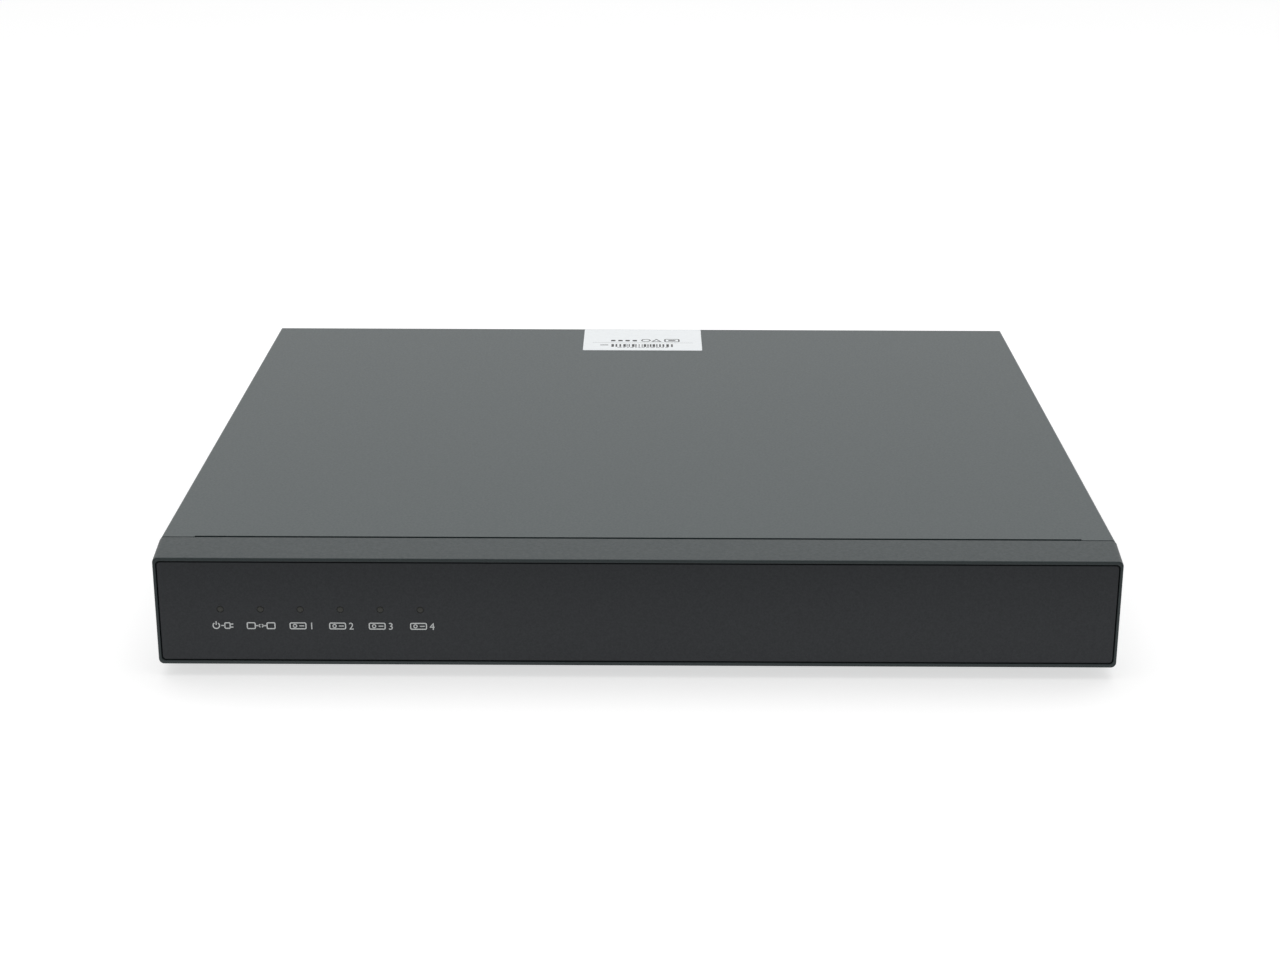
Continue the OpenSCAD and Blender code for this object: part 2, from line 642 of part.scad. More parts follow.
module terminal_plug() color(terminal_green) in_case() difference() {
  union() {
    block(terminal_x, panel_in_y - 8, board_top + 2, [terminal_w - 1.4, 10.2, 7.6]);
    block(terminal_x, panel_out_y + 0.4, board_top + 0.6, [terminal_w - 1.4, 8.6, 10.4]);
  }
  for (i = [0 : terminal_n - 1])
    translate([terminal_x + (i - (terminal_n - 1) / 2) * terminal_pitch, 0, 0]) {
      block(0, panel_out_y + 5, board_top + 2.4, [2.6, 6, 2.8]);
      translate([0, panel_out_y + 4.4, board_top + 6]) cylinder(r = 1.45, h = 8);
    }
}

module terminal_screws() color(nickel) in_case() for (i = [0 : terminal_n - 1])
  translate([terminal_x + (i - (terminal_n - 1) / 2) * terminal_pitch, panel_out_y + 4.4,
    board_top + 6.05]) difference() {
      cylinder(r = 1.35, h = 4);
      translate([-1.5, -0.2, 3.4]) cube([3, 0.4, 1]);
    }

// Small push switch behind a hole in the rear panel.
module reset_switch() color(plastic_black) in_case() difference() {
  block(reset_x, panel_in_y - 7.5, board_top, [6, 5, 7.2]);
  bar_y([reset_x, panel_in_y - 4.6, reset_z], 1.75, 4);
}

module reset_button() color("#8f2f2a") in_case() {
  bar_y([reset_x, panel_in_y - 3.5, reset_z], 1.65, 4.3);
}

module ground_screw() color(nickel) in_case() translate([ground[0], panel_out_y + 0.6, ground[1]])
  rotate([-90, 0, 0]) {
    screw(1.9, 8, 3.6, 2.2);
    difference() {
      translate([0, 0, -0.6]) cylinder(r = 4.6, h = 0.6);
      translate([0, 0, -1]) cylinder(r = 1.5, h = 2);
    }
  }

// ---------------------------------------------------------------- rear panel

// Rings of slots in front of the fan, parted by four arms.
module fan_grille() difference() {
  union() for (r = [5.2 : 3.6 : 18]) difference() {
    circle(r + 2.3);
    circle(r);
  }
  for (a = [45, 135]) rotate(a) square([50, 2.4], center = true);
}

module rear_panel() color(steel_black) in_case() difference() {
  union() {
    block(0, panel_in_y, sheet + 0.1, [tray_w - 2 * sheet - 0.2, sheet, wall_top - sheet]);
    for (x = [-1, 1]) block(x * (tray_w - 2 * sheet - 0.2 - sheet) / 2, panel_in_y - 12,
      sheet + 0.1, [sheet, 12.1, wall_top - sheet]);
  }
  for (j = jacks()) bar_y([j[0], panel_in_y - 1, j[1]], 5.3, sheet + 2);
  for (z = [15, 28]) bar_y([audio_x, panel_in_y - 1, z], 5, sheet + 2);
  across(panel_in_y - 1, sheet + 2) {
    translate([analogue_x, analogue_z]) socket_section(17.3, 8.7, 1.3);
    translate([digital_x, board_top + 3]) square([15.4, 6.4], center = true);
    translate([peripheral_x, board_top + 7.75]) square([14.4, 15.9], center = true);
    translate([external_x, board_top + 3.3]) square([13.6, 7], center = true);
    translate([lan_x, board_top + 6.7]) square([16.4, 13.8], center = true);
    translate([terminal_x, board_top + 5.8]) square([terminal_w, 9.4], center = true);
    translate([rocker_x, power_z]) square([13.2, 19.2], center = true);
    translate([inlet_x, power_z]) rounded(28, 20.2, 1.5);
    translate([sys_fan[0], sys_fan[1]]) fan_grille();
  }
  for (x = [-12.5, 12.5]) bar_y([analogue_x + x, panel_in_y - 1, analogue_z], 2, sheet + 2);
  bar_y([reset_x, panel_in_y - 1, reset_z], 2, sheet + 2);
  bar_y([ground[0], panel_in_y - 1, ground[1]], 2, sheet + 2);
  for (x = [-20, 20]) bar_y([inlet_x + x, panel_in_y - 1, power_z], 1.6, sheet + 2);
  for (x = [-1, 1], z = [-1, 1])
    bar_y([sys_fan[0] + x * fan_hole, panel_in_y - 1, sys_fan[1] + z * fan_hole], 1.8, sheet + 2);
  for (x = flange_screw_xs()) bar_y([x, panel_in_y - 1, case_h - flange_h / 2 - 1], 1.55, sheet + 2);
}

// ---------------------------------------------------------------- mains and supply

// Mains inlet: flange outside the panel, body behind it and a socket open to the rear.
module ac_inlet() color("#1b1c1e") in_case() translate([inlet_x, 0, power_z]) difference() {
  union() {
    across(panel_out_y, inlet_flange_t) rounded(50, 22.4, 5);
    across(panel_in_y - 14, 15) rounded(27.6, 19.8, 1.5);
    for (x = [-7, 0, 7]) block(x, panel_in_y - 21, x == 0 ? 0 : -4, [0.8, 8, 4]);
  }
  across(panel_out_y + inlet_flange_t - 15, 16) rounded(24.2, 16.4, 2);
  for (x = [-20, 20]) bar_y([x, panel_out_y - 1, 0], 1.7, 6);
}

// Three blades standing in the inlet's socket.
module ac_pins() color(nickel) in_case() translate([inlet_x, 0, power_z])
  for (x = [-7, 0, 7]) block(x, panel_out_y + inlet_flange_t - 15, x == 0 ? 0 : -4, [2, 13.4, 4]);

module switch_housing() color("#1b1c1e") in_case() translate([rocker_x, 0, power_z]) difference() {
  union() {
    across(panel_out_y, 2) rounded(15, 21.4, 1);
    block(0, panel_in_y - 14, -9.4, [12.8, 15.1, 18.8]);
    for (z = [-4.5, 2.5]) block(0, panel_in_y - 21, z, [4.8, 8, 0.8]);
  }
  translate([-4.6, rocker_pivot_y, 0]) rotate([0, 90, 0]) cylinder(r = 9, h = 9.2, $fn = 96);
}

// Rocker that turns about the X axis inside the housing. Its two faces meet in a shallow V.
module power_rocker() color("#202123") in_case()
  translate([rocker_x, rocker_pivot_y, power_z]) rotate([-rocker_tilt, 0, 0]) intersection() {
    translate([-4.4, 0, 0]) rotate([0, 90, 0]) cylinder(r = 8.7, h = 8.8, $fn = 96);
    rotate([90, 0, 90]) translate([0, 0, -5]) linear_extrude(10)
      polygon([[-1, -9], [6.6, -9], [4.2, 0], [6.6, 9], [-1, 9]]);
  }

module psu_board() color("#8a6a3a") in_case() difference() {
  translate([psu_x0, board_y0, board_z]) cube([psu_x1 - psu_x0, psu_y1 - board_y0, pcb_t]);
  for (p = psu_holes) translate([p[0], p[1], board_z - 1]) cylinder(r = 1.7, h = 4);
}

// Ferrite core with its winding, and the choke of the line filter.
module psu_transformer() color("#c9a23c") in_case() {
  translate([177, 292, board_top]) {
    block(0, -15, 0, [34, 6, 28]);
    block(0, 9, 0, [34, 6, 28]);
    block(0, -8.9, 3, [24, 17.8, 22]);
  }
  translate([193, 340, board_top]) difference() {
    block(0, -9, 0, [20, 18, 17]);
    block(0, -10, 5, [6, 20, 7]);
  }
}

// Main reservoir capacitor and the output capacitors: x, y, radius, height.
supply_cans = concat([[164, 328, 11, 30]], [for (k = [0 : 3]) [157 + k * 13, 259, 5, 20]]);

module psu_capacitors() color("#3b2f5a") in_case()
  for (c = supply_cans) translate([c[0], c[1], board_top]) cylinder(r = c[2], h = c[3]);

// Two upright plates that cool the supply's switching parts, with the parts on them.
module psu_heatsinks() color(aluminium) in_case() for (x = [145, 208]) {
  block(x, 268, board_top, [2.4, 62, 26]);
  for (y = [276, 296, 314]) block(x < 170 ? x + 3.6 : x - 3.6, y, board_top + 4, [4.4, 10, 15]);
}

// ---------------------------------------------------------------- fans

// Square frame with a round duct, a hub on four arms and a post for the rotor.
// It stands on z = 0 and blows along the Z axis.
module fan_frame(t) difference() {
  union() {
    difference() {
      linear_extrude(t) rounded(fan_s, fan_s, 3);
      translate([0, 0, -1]) cylinder(r = 18.9, h = t + 2, $fn = 96);
    }
    cylinder(r = 9.6, h = 1.2);
    for (a = [45, 135]) rotate(a) translate([-19.4, -1, 0]) cube([38.8, 2, 1.2]);
    cylinder(r = 4, h = t - 3.4);
  }
  translate([0, 0, 1.2]) cylinder(r = 1.05, h = t);
  for (x = [-1, 1], y = [-1, 1]) translate([x * fan_hole, y * fan_hole, -1])
    cylinder(r = 1.75, h = t + 2);
}

// Rotor: a cup over the post, seven slanted blades and a shaft.
module fan_rotor(t) {
  difference() {
    translate([0, 0, 1.7]) cylinder(r = 9.4, h = t - 2.2);
    translate([0, 0, 0]) cylinder(r = 8.2, h = t - 2.2);
  }
  translate([0, 0, 1.8]) cylinder(r = 1, h = t - 3);
  intersection() {
    translate([0, 0, 1.7]) difference() {
      cylinder(r = 18.3, h = t - 2.4, $fn = 96);
      translate([0, 0, -1]) cylinder(r = 9, h = t);
    }
    union() for (k = [0 : 6]) rotate(k * 360 / 7) translate([13.5, 0, t / 2])
      rotate([52, 0, 0]) cube([12, t * 1.7, 1.3], center = true);
  }
}

// The system fan lies against the rear panel, with its arms towards the panel.
module at_system_fan() in_case() translate([sys_fan[0], panel_in_y, sys_fan[1]])
  rotate([90, 0, 0]) children();

module system_fan_frame() color("#1c1d1f") at_system_fan() fan_frame(sys_fan_t);
module system_fan_rotor() color("#2a2b2d") at_system_fan() fan_rotor(sys_fan_t);

// ---------------------------------------------------------------- wiring

// Plug on the end of a data cable, seen from its tip.
data_plug = [13.6, plug_l, 6];

module data_cables() color("#b3202a") in_case() for (i = [0 : drive_count - 1]) {
  x0 = drive_x(i) + data_x;
  x1 = header_xs[i];
  y0 = drive_y + drive_l;
  block(x0, y0 + 0.1, plug_z - 3, data_plug);
  block(x1, header_y - 3, board_top + header_h + 0.1, [13.6, 6, 15]);
  cable([[x0, y0 + plug_l, plug_z], [x0, y0 + plug_l + 8, plug_z],
      [x0 + (x1 - x0) * 0.25, y0 + plug_l + 19, plug_z + 9],
      [x0 + (x1 - x0) * 0.75, header_y - 18, 40 + i],
      [x1 - (x1 - x0) * 0.03, header_y - 6, 46],
      [x1, header_y, 40], [x1, header_y, board_top + header_h + 15]],
    7, 1.6, [1, 0, 0]);
}

// Power plugs on the drives with the flat loom that joins them to the supply, the leads
// between the supply and the main board, and the ribbon from the lights.
module power_loom() color("#222324") in_case() {
  y0 = drive_y + drive_l;
  for (i = [0 : drive_count - 1]) {
    x = drive_x(i) + power_x;
    block(x, y0 + 0.1, plug_z - 3, [22.6, 15, 6]);
    block(x, y0 + 15.1, plug_z - 1.5, [12, loom_y + 2.5 - y0 - 15.1, 3]);
    block(x, loom_y - 2.5, plug_z + 1.5, [12, 5, loom_z - 1.5 - plug_z - 1.5]);
  }
  translate([drive_x(0) + power_x - 6, loom_y - 2.5, loom_z - 1.5])
    cube([drive_x(3) - drive_x(0) + 32, 5, 3]);
  cable([[drive_x(3) + power_x + 20, loom_y, loom_z], [drive_x(3) + power_x + 27, loom_y + 2, loom_z],
    [165, 222, 24], [170, 234, 24], [170, 240, 17.7]], 8, 2.4, [0, 1, 0]);
  block(170, 236.5, board_top, [14, 7, 9]);
  cable([[64, 240, 17.6], [64, 240, 24], [76, 239, 31], [130, 239, 31], [151, 240, 25],
    [151, 240, 17.6]], 6, 6, [0, 1, 0], 8);
  block(151, 236.5, board_top, [14, 7, 9]);
  cable([[sys_fan[0] - fan_s / 2, panel_in_y - 12, 30], [84, panel_in_y - 12, 30], [80, 358, 29],
    [82, 318, 27], [82, 306, 26], [82, 303.7, 22], [82, 303.7, board_top + 6]], 3, 1.4, [0, 1, 0]);
  cable([[light_x0, led_board_y + 6.2, light_z], [light_x0, led_board_y + 8.6, light_z],
    [-196, 22.6, light_z], [-207, 24, light_z], [-211.5, 30, light_z],
    [-212.6, 42, light_z - 1], [-212.6, 120, light_z - 1], [-212.6, 200, light_z - 1],
    [-212, 226, light_z], [-207, 240, light_z + 1],
    [-203, 243, 22], [-203, 243, 15.7]], 8, 1.1, [0, 0, 1]);
}

// Leads from the inlet through the switch to the supply.
module mains_leads() color("#7a4a26") in_case() {
  for (k = [0 : 2]) let (x = inlet_x - 7 + 7 * k, z = power_z + (k == 1 ? 2 : -2))
    cable([[x, panel_in_y - 21, z], [x, panel_in_y - 25, z], [x - 1, 358, 19 + 4 * k],
      [184 + 6 * k, 354, 21], [184 + 6 * k, 354, board_top + 8]], 2.8, 2.8, [1, 0, 0], 8);
  block(190, 350.4, board_top, [20, 7, 8]);
  for (k = [0, 1]) cable([[rocker_x, panel_in_y - 21, power_z - 4.1 + 7 * k],
    [rocker_x, panel_in_y - 26, power_z - 4.1 + 7 * k], [rocker_x + 4, 356, 23 + 5 * k],
    [165 + 4 * k, 352, 24 + 5 * k], [168 + 6 * k, 354, 22 + 3 * k], [168 + 6 * k, 354, board_top + 8]],
    2.8, 2.8, [1, 0, 0], 8);
  block(171, 350.4, board_top, [13, 7, 8]);
}

// ---------------------------------------------------------------- nodes

base_tray();
rear_panel();
top_cover();
cover_label();
cover_screws();
front_bezel();
front_panel();
light_pipes();
led_board();
status_leds();
rubber_feet();
drive_castings();
drive_lids();
drive_boards();
drive_sockets();
drive_screws();
platters(0);  // platters_1
platters(1);  // platters_2
platters(2);  // platters_3
platters(3);  // platters_4
head_arms(0);  // head_arms_1
head_arms(1);  // head_arms_2
head_arms(2);  // head_arms_3
head_arms(3);  // head_arms_4
main_board();
standoffs();
machine_screws();
board_chips();
soc_heatsink();
board_capacitors();
coin_cell();
board_headers();
bnc_jacks();
bnc_cores();
bnc_housings();
audio_jacks();
analogue_video_port();
digital_video_port();
peripheral_ports();
external_drive_port();
network_port();
terminal_header();
terminal_plug();
terminal_screws();
reset_switch();
reset_button();
ground_screw();
psu_board();
psu_transformer();
psu_capacitors();
psu_heatsinks();
ac_inlet();
ac_pins();
switch_housing();
power_rocker();
system_fan_frame();
system_fan_rotor();
data_cables();
power_loom();
mains_leads();
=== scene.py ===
"""Looks of a desktop video recorder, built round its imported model: the moulded bezel and
its printed marks, the coated cover and its label, the connectors at the rear, and the
drives, boards and wiring inside. Lengths are in metres."""

import math

import bmesh
import bpy
import numpy as np
from bpy.props import FloatProperty, FloatVectorProperty, PointerProperty
from mathutils import Matrix, Vector


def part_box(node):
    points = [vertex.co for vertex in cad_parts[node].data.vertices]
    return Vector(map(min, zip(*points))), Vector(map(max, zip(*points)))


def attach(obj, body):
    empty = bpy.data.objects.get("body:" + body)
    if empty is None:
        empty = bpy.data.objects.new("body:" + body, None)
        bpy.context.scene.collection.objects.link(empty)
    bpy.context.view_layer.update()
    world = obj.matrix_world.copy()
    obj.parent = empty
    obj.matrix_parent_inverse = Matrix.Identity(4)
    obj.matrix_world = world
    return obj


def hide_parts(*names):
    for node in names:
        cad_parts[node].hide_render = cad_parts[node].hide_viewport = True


bl_info = {
    "name": "Video Recorder",
    "version": (1, 0, 0),
    "blender": (4, 5, 0),
    "location": "3D View > Sidebar > Recorder",
    "description": "Dresses the packed model of a desktop video recorder",
    "category": "Object",
}

MM = 0.001
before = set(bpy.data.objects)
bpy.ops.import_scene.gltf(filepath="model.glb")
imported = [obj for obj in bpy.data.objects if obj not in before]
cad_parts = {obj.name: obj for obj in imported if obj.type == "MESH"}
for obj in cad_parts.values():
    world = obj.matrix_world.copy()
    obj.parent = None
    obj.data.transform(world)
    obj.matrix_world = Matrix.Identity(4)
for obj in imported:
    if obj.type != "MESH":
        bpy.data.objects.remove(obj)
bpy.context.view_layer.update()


def low(node):
    """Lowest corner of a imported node."""
    return np.array(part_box(node)[0])


def high(node):
    """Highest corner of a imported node."""
    return np.array(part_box(node)[1])


FRONT_Y = float(low("front_bezel")[1])
UNDER_Z = float(low("base_tray")[2])
TOP_Z = float(high("top_cover")[2])
DRIVE_COUNT = 4
CREASE_ANGLE = math.radians(38)
CORNER_ANGLE = math.radians(42)


# ------------------------------------------------------------------ properties


def length(name, text, default):
    """A size in metres, shown in the scene's own unit."""
    return FloatProperty(name=name, description=text, default=default, min=0.0, precision=5,
                         subtype="DISTANCE", unit="LENGTH")


def colour(name, text, default):
    """A linear colour."""
    return FloatVectorProperty(name=name, description=text, default=default, size=3, min=0.0,
                               max=1.0, subtype="COLOR")


def rotation(name, text, degrees):
    """An angle, given here in degrees."""
    return FloatProperty(name=name, description=text, default=math.radians(degrees),
                         subtype="ANGLE", unit="ROTATION")


def amount(name, text, default):
    """A plain number that is never negative."""
    return FloatProperty(name=name, description=text, default=default, min=0.0)


class RecorderSizes(bpy.types.PropertyGroup):
    """Sizes that shape the pieces made here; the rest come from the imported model."""

    bezel_depth: length("Bezel depth", "From the bezel's face to the cover", 26.7 * MM)
    bezel_draw: length("Bezel draw", "How far each side draws in towards the face", 2 * MM)
    corner_radius: length("Corner radius", "Radius of the bezel's four corners", 2.4 * MM)
    face_edge: length("Face edge", "Radius of the edge round the bezel's face", 0.55 * MM)
    rim_side: length("Side rim", "Width of the rim beside the front panel", 1.3 * MM)
    rim_top: length("Top rim", "Width of the rim above and below the panel", 1.7 * MM)
    bezel_wall: length("Bezel wall", "Thickness of the bezel's walls", 2.2 * MM)
    panel_edge: length("Panel edge", "Radius of the edge round the front panel", 0.3 * MM)
    mark_height: length("Mark height", "Height of the marks printed on the panel", 3.4 * MM)
    mark_stroke: length("Mark stroke", "Width of the marks' strokes", 0.52 * MM)
    ink: length("Ink thickness", "Thickness of printed ink", 0.02 * MM)
    wire: length("Wire diameter", "Diameter of the wires in the power loom", 1.5 * MM)


class RecorderColours(bpy.types.PropertyGroup):
    """Colours of the main finishes."""

    cover: colour("Cover", "Powder coat of the cover", (0.044, 0.061, 0.063))
    bezel: colour("Bezel", "Moulded plastic of the bezel", (0.036, 0.048, 0.050))
    panel: colour("Front panel", "Plastic of the front panel", (0.026, 0.029, 0.033))
    print: colour("Print", "Ink of the printed marks", (0.72, 0.74, 0.74))
    label: colour("Label", "Paper of the labels", (0.92, 0.95, 0.965))
    rear: colour("Rear panel", "Powder coat of the rear panel", (0.022, 0.024, 0.025))
    board: colour("Boards", "Solder mask of the boards", (0.012, 0.085, 0.035))
    cable: colour("Data cables", "Jackets of the data cables", (0.42, 0.010, 0.014))


class StudioSettings(bpy.types.PropertyGroup):
    """Camera, lights and floor."""

    camera_place: FloatVectorProperty(
        name="Camera place", description="Where the camera stands", size=3,
        default=(0.00379, -1.15094, 0.42715), subtype="TRANSLATION", unit="LENGTH")
    pitch: rotation("Pitch", "How far the camera looks down", 19.20)
    yaw: rotation("Yaw", "How far the camera looks to the right", -0.17)
    roll: rotation("Roll", "How far the camera leans", 0.18)
    lens: amount("Lens", "Focal length in millimetres on a 36 mm frame", 63.77)
    sky: amount("Light behind", "Strength of the surroundings behind the object", 0.95)
    sky_front: amount("Light in front", "Strength of the surroundings in front", 0.36)
    key: amount("Overhead light", "Power of the overhead panel in watts", 16.0)
    floor: colour("Floor", "Colour of the floor", (0.55, 0.55, 0.55))
    floor_glow: amount("Floor glow", "Light that the lit floor gives off", 0.62)
    bounce: amount("Floor bounce", "Power of the light that the floor throws up in watts", 0.08)


# ------------------------------------------------------------------ shapes


def grid_quads(rows, cols, wrap=True):
    """Quads of a grid of rows by cols points. With wrap, the last column meets the first."""
    row = np.arange(rows - 1)[:, None] * cols
    col = np.arange(cols if wrap else cols - 1)[None, :]
    after = (col + 1) % cols
    return np.stack([row + col, row + after, row + cols + after, row + cols + col], -1).reshape(-1,
                                                                                                4)


class Shape:
    """Gathers the points and faces of several closed surfaces into one mesh."""

    def __init__(self):
        self.points = []
        self.faces = []
        self.count = 0

    def add(self, points, faces):
        """Adds a surface: an array of points, and faces that number them from zero."""
        points = np.asarray(points, float).reshape(-1, 3)
        self.points.append(points)
        self.faces += [[int(i) + self.count for i in f] for f in faces]
        self.count += len(points)
        return self

    def rings(self, rings):
        """A skin over a stack of closed rings, with a flat face over the first and the last."""
        rows, cols = rings.shape[:2]
        ends = [list(range(cols)), list(range((rows - 1) * cols, rows * cols))]
        return self.add(rings, grid_quads(rows, cols).tolist() + ends)

    def copies(self, points, faces, places):
        """The same small surface at many places."""
        points = np.asarray(points, float).reshape(-1, 3)
        places = np.asarray(places, float).reshape(-1, 1, 3)
        shift = np.arange(len(places))[:, None, None] * len(points)
        every = np.asarray(faces)[None] + shift
        return self.add(points[None] + places, every.reshape(-1, np.asarray(faces).shape[1]))


def make(name, shape, finish, body="case", replaces=(), merge=True):
    """Turns a Shape into an object with outward normals. The finish is given by its name."""
    mesh = bpy.data.meshes.new(name)
    mesh.from_pydata(np.concatenate(shape.points).tolist(), [], shape.faces)
    piece = bpy.data.objects.new(name, mesh)
    bpy.context.scene.collection.objects.link(piece)
    edit = bmesh.new()
    edit.from_mesh(mesh)
    if merge:
        bmesh.ops.remove_doubles(edit, verts=edit.verts, dist=1e-7)
    bmesh.ops.recalc_face_normals(edit, faces=edit.faces)
    edit.to_mesh(mesh)
    edit.free()
    return level_shading(dress(piece, finish, body, replaces))


def level_shading(piece):
    """Lets the large flat faces beside a rounded edge keep their own shading."""
    weights = piece.modifiers.new("Flat faces", "WEIGHTED_NORMAL")
    weights.keep_sharp = True
    return piece


def dress(piece, finish, body="case", replaces=()):
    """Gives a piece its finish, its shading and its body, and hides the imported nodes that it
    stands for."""
    mesh = piece.data
    mesh.materials.clear()
    mesh.materials.append(finish_of(finish))
    mesh.polygons.foreach_set("use_smooth", np.ones(len(mesh.polygons), bool))
    mesh.set_sharp_from_angle(angle=CREASE_ANGLE)
    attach(piece, body)
    if replaces:
        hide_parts(*replaces)
    return piece


def softened(node, finish, width, body="case", name=None):
    """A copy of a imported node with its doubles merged, its flat faces joined and its edges
    rounded to the given width. The copy stands for the node."""
    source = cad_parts[node]
    mesh = source.data.copy()
    mesh.name = name or node + "_finished"
    edit = bmesh.new()
    edit.from_mesh(mesh)
    bmesh.ops.remove_doubles(edit, verts=edit.verts, dist=2e-6)
    bmesh.ops.dissolve_degenerate(edit, edges=edit.edges, dist=1e-6)
    bmesh.ops.dissolve_limit(edit, angle_limit=math.radians(0.4), verts=edit.verts,
                             edges=edit.edges)
    edges = [e for e in edit.edges
             if len(e.link_faces) == 2 and e.calc_face_angle(0) > CORNER_ANGLE]
    bmesh.ops.bevel(edit, geom=edges, offset=width, segments=2, profile=0.5, affect="EDGES",
                    clamp_overlap=True)
    edit.to_mesh(mesh)
    edit.free()
    piece = bpy.data.objects.new(mesh.name, mesh)
    bpy.context.scene.collection.objects.link(piece)
    dress(piece, finish, body, (node,))
    return level_shading(piece)


def rounded_rings(half_w, half_h, radius, along, steps=8):
    """Rings of a rectangle with round corners. Each corner is an arc of the given radius
    about a point set in from the corner by that radius. Every argument may be an array with
    one value a ring. The result has x across, the along value in y, and z up."""
    half_w, half_h, radius, along = (np.atleast_1d(np.asarray(v, float)) for v in
                                     np.broadcast_arrays(half_w, half_h, radius, along))
    quarter = np.linspace(0, math.pi / 2, steps + 1)
    angle = (np.arange(4)[:, None] * math.pi / 2 + quarter).ravel()
    sign_x = np.repeat([1, -1, -1, 1], steps + 1)
    sign_z = np.repeat([1, 1, -1, -1], steps + 1)
    x = sign_x * (half_w - radius)[:, None] + radius[:, None] * np.cos(angle)
    z = sign_z * (half_h - radius)[:, None] + radius[:, None] * np.sin(angle)
    y = np.repeat(along[:, None], len(angle), 1)
    return np.stack([x, y, z], -1)


def fillet(radius, steps=4):
    """How far in and how far along the points of a quarter-round edge lie: radius times one
    minus the cosine, and radius times one minus the sine, of an angle from 0 to 90 degrees."""
    angle = np.linspace(0, math.pi / 2, steps + 1)
    return radius * (1 - np.cos(angle)), radius * (1 - np.sin(angle))


def slab_rings(size, corner, edge, steps=5):
    """Rings of a slab about the origin, thick along y, with round corners of one radius and
    quarter-round edges of another."""
    half = np.asarray(size, float) / 2
    inset, back = fillet(edge, 3)
    inset = np.concatenate([inset[::-1], inset])
    along = np.concatenate([-half[1] + back[::-1], half[1] - back])
    radius = np.maximum(corner - inset, corner * 0.3)
    return rounded_rings(half[0] - inset, half[2] - inset, radius, along, steps)


def turn(points, axes):
    """Swaps the axes of points, such as "xzy". A minus sign before a letter mirrors it."""
    columns = []
    sign = 1
    for letter in axes:
        if letter == "-":
            sign = -1
            continue
        columns.append(sign * points[..., "xyz".index(letter)])
        sign = 1
    return np.stack(columns, -1)


def lathe_rings(profile, sides=32):
    """Rings of a turned shape: each (radius, height) of the profile is carried round the z
    axis, as radius times the cosine and sine of the angle."""
    profile = np.asarray(profile, float)
    angle = np.arange(sides) * 2 * math.pi / sides
    x = profile[:, :1] * np.cos(angle)
    y = profile[:, :1] * np.sin(angle)
    return np.stack([x, y, np.repeat(profile[:, 1:], sides, 1)], -1)


def box_faces():
    """The six faces of a box whose corners are numbered as box_points gives them."""
    return np.array([[0, 1, 3, 2], [4, 6, 7, 5], [0, 4, 5, 1], [2, 3, 7, 6], [0, 2, 6, 4],
                     [1, 5, 7, 3]])


def box_points(size, base=0.0):
    """Corners of a box about the origin in x and y, standing on z = base."""
    size = np.asarray(size, float)
    corner = np.array([[x, y, z] for x in (-0.5, 0.5) for y in (-0.5, 0.5) for z in (0, 1)])
    return corner * size + [0, 0, base]


def smooth_path(points, steps=8):
    """A Catmull-Rom curve through points: between two of them it is the cubic whose slope at
    each is half the way between that point's neighbours."""
    p = np.asarray(points, float)
    padded = np.concatenate([p[:1], p, p[-1:]])
    a, b, c, d = (padded[i:len(p) - 1 + i, None] for i in range(4))
    t = (np.arange(steps) / steps)[None, :, None]
    line = 0.5 * (2 * b + (c - a) * t + (2 * a - 5 * b + 4 * c - d) * t**2
                  + (3 * b - 3 * c + d - a) * t**3)
    return np.concatenate([line.reshape(-1, 3), p[-1:]])


def side_vectors(line, side):
    """Directions along a line, and side vectors that turn with it as little as they can: at
    each station the last side vector loses its part along the new direction."""
    ahead = np.gradient(line, axis=0)
    ahead /= np.linalg.norm(ahead, axis=1, keepdims=True)
    sides = np.empty_like(ahead)
    last = np.asarray(side, float)
    for i, direction in enumerate(ahead):
        last = last - last.dot(direction) * direction
        last /= np.linalg.norm(last)
        sides[i] = last
    return ahead, sides, np.cross(ahead, sides)


def carried(points, section, side, steps=8):
    """Rings of a cross-section, given as (across, through) pairs, carried along a smooth
    path: each ring is the path's point plus the pairs times its two side vectors."""
    line = smooth_path(points, steps)
    _, across, through = side_vectors(line, side)
    section = np.asarray(section, float)
    return (line[:, None] + across[:, None] * section[None, :, :1]
            + through[:, None] * section[None, :, 1:])


def round_section(radius, sides=12):
    """A circle as (across, through) pairs."""
    angle = np.arange(sides) * 2 * math.pi / sides
    return radius * np.stack([np.cos(angle), np.sin(angle)], -1)


def oval_section(width, thick, sides=20, power=4.0):
    """A rounded strip: a superellipse, with each of the cosine and sine raised to two over
    the power and given back its sign."""
    angle = np.arange(sides) * 2 * math.pi / sides
    shape = np.stack([np.cos(angle), np.sin(angle)], -1)
    return np.sign(shape) * np.abs(shape) ** (2 / power) * [width / 2, thick / 2]


def stroke_band(points, width, closed=False):
    """A flat band of even width along a line of (x, z) pairs: its two edges lie half the
    width to each side of the line, along the bisector of the two stretches that meet."""
    p = np.asarray(points, float)
    before = p - np.roll(p, 1, 0)
    after = np.roll(p, -1, 0) - p
    if not closed:
        before[0] = after[0]
        after[-1] = before[-1]
    before /= np.linalg.norm(before, axis=1, keepdims=True)
    after /= np.linalg.norm(after, axis=1, keepdims=True)
    normal = before + after
    normal = np.stack([-normal[:, 1], normal[:, 0]], -1)
    normal /= np.maximum(np.sum(normal * normal, 1, keepdims=True) / 2, 0.5)
    return p + normal * width / 2, p - normal * width / 2


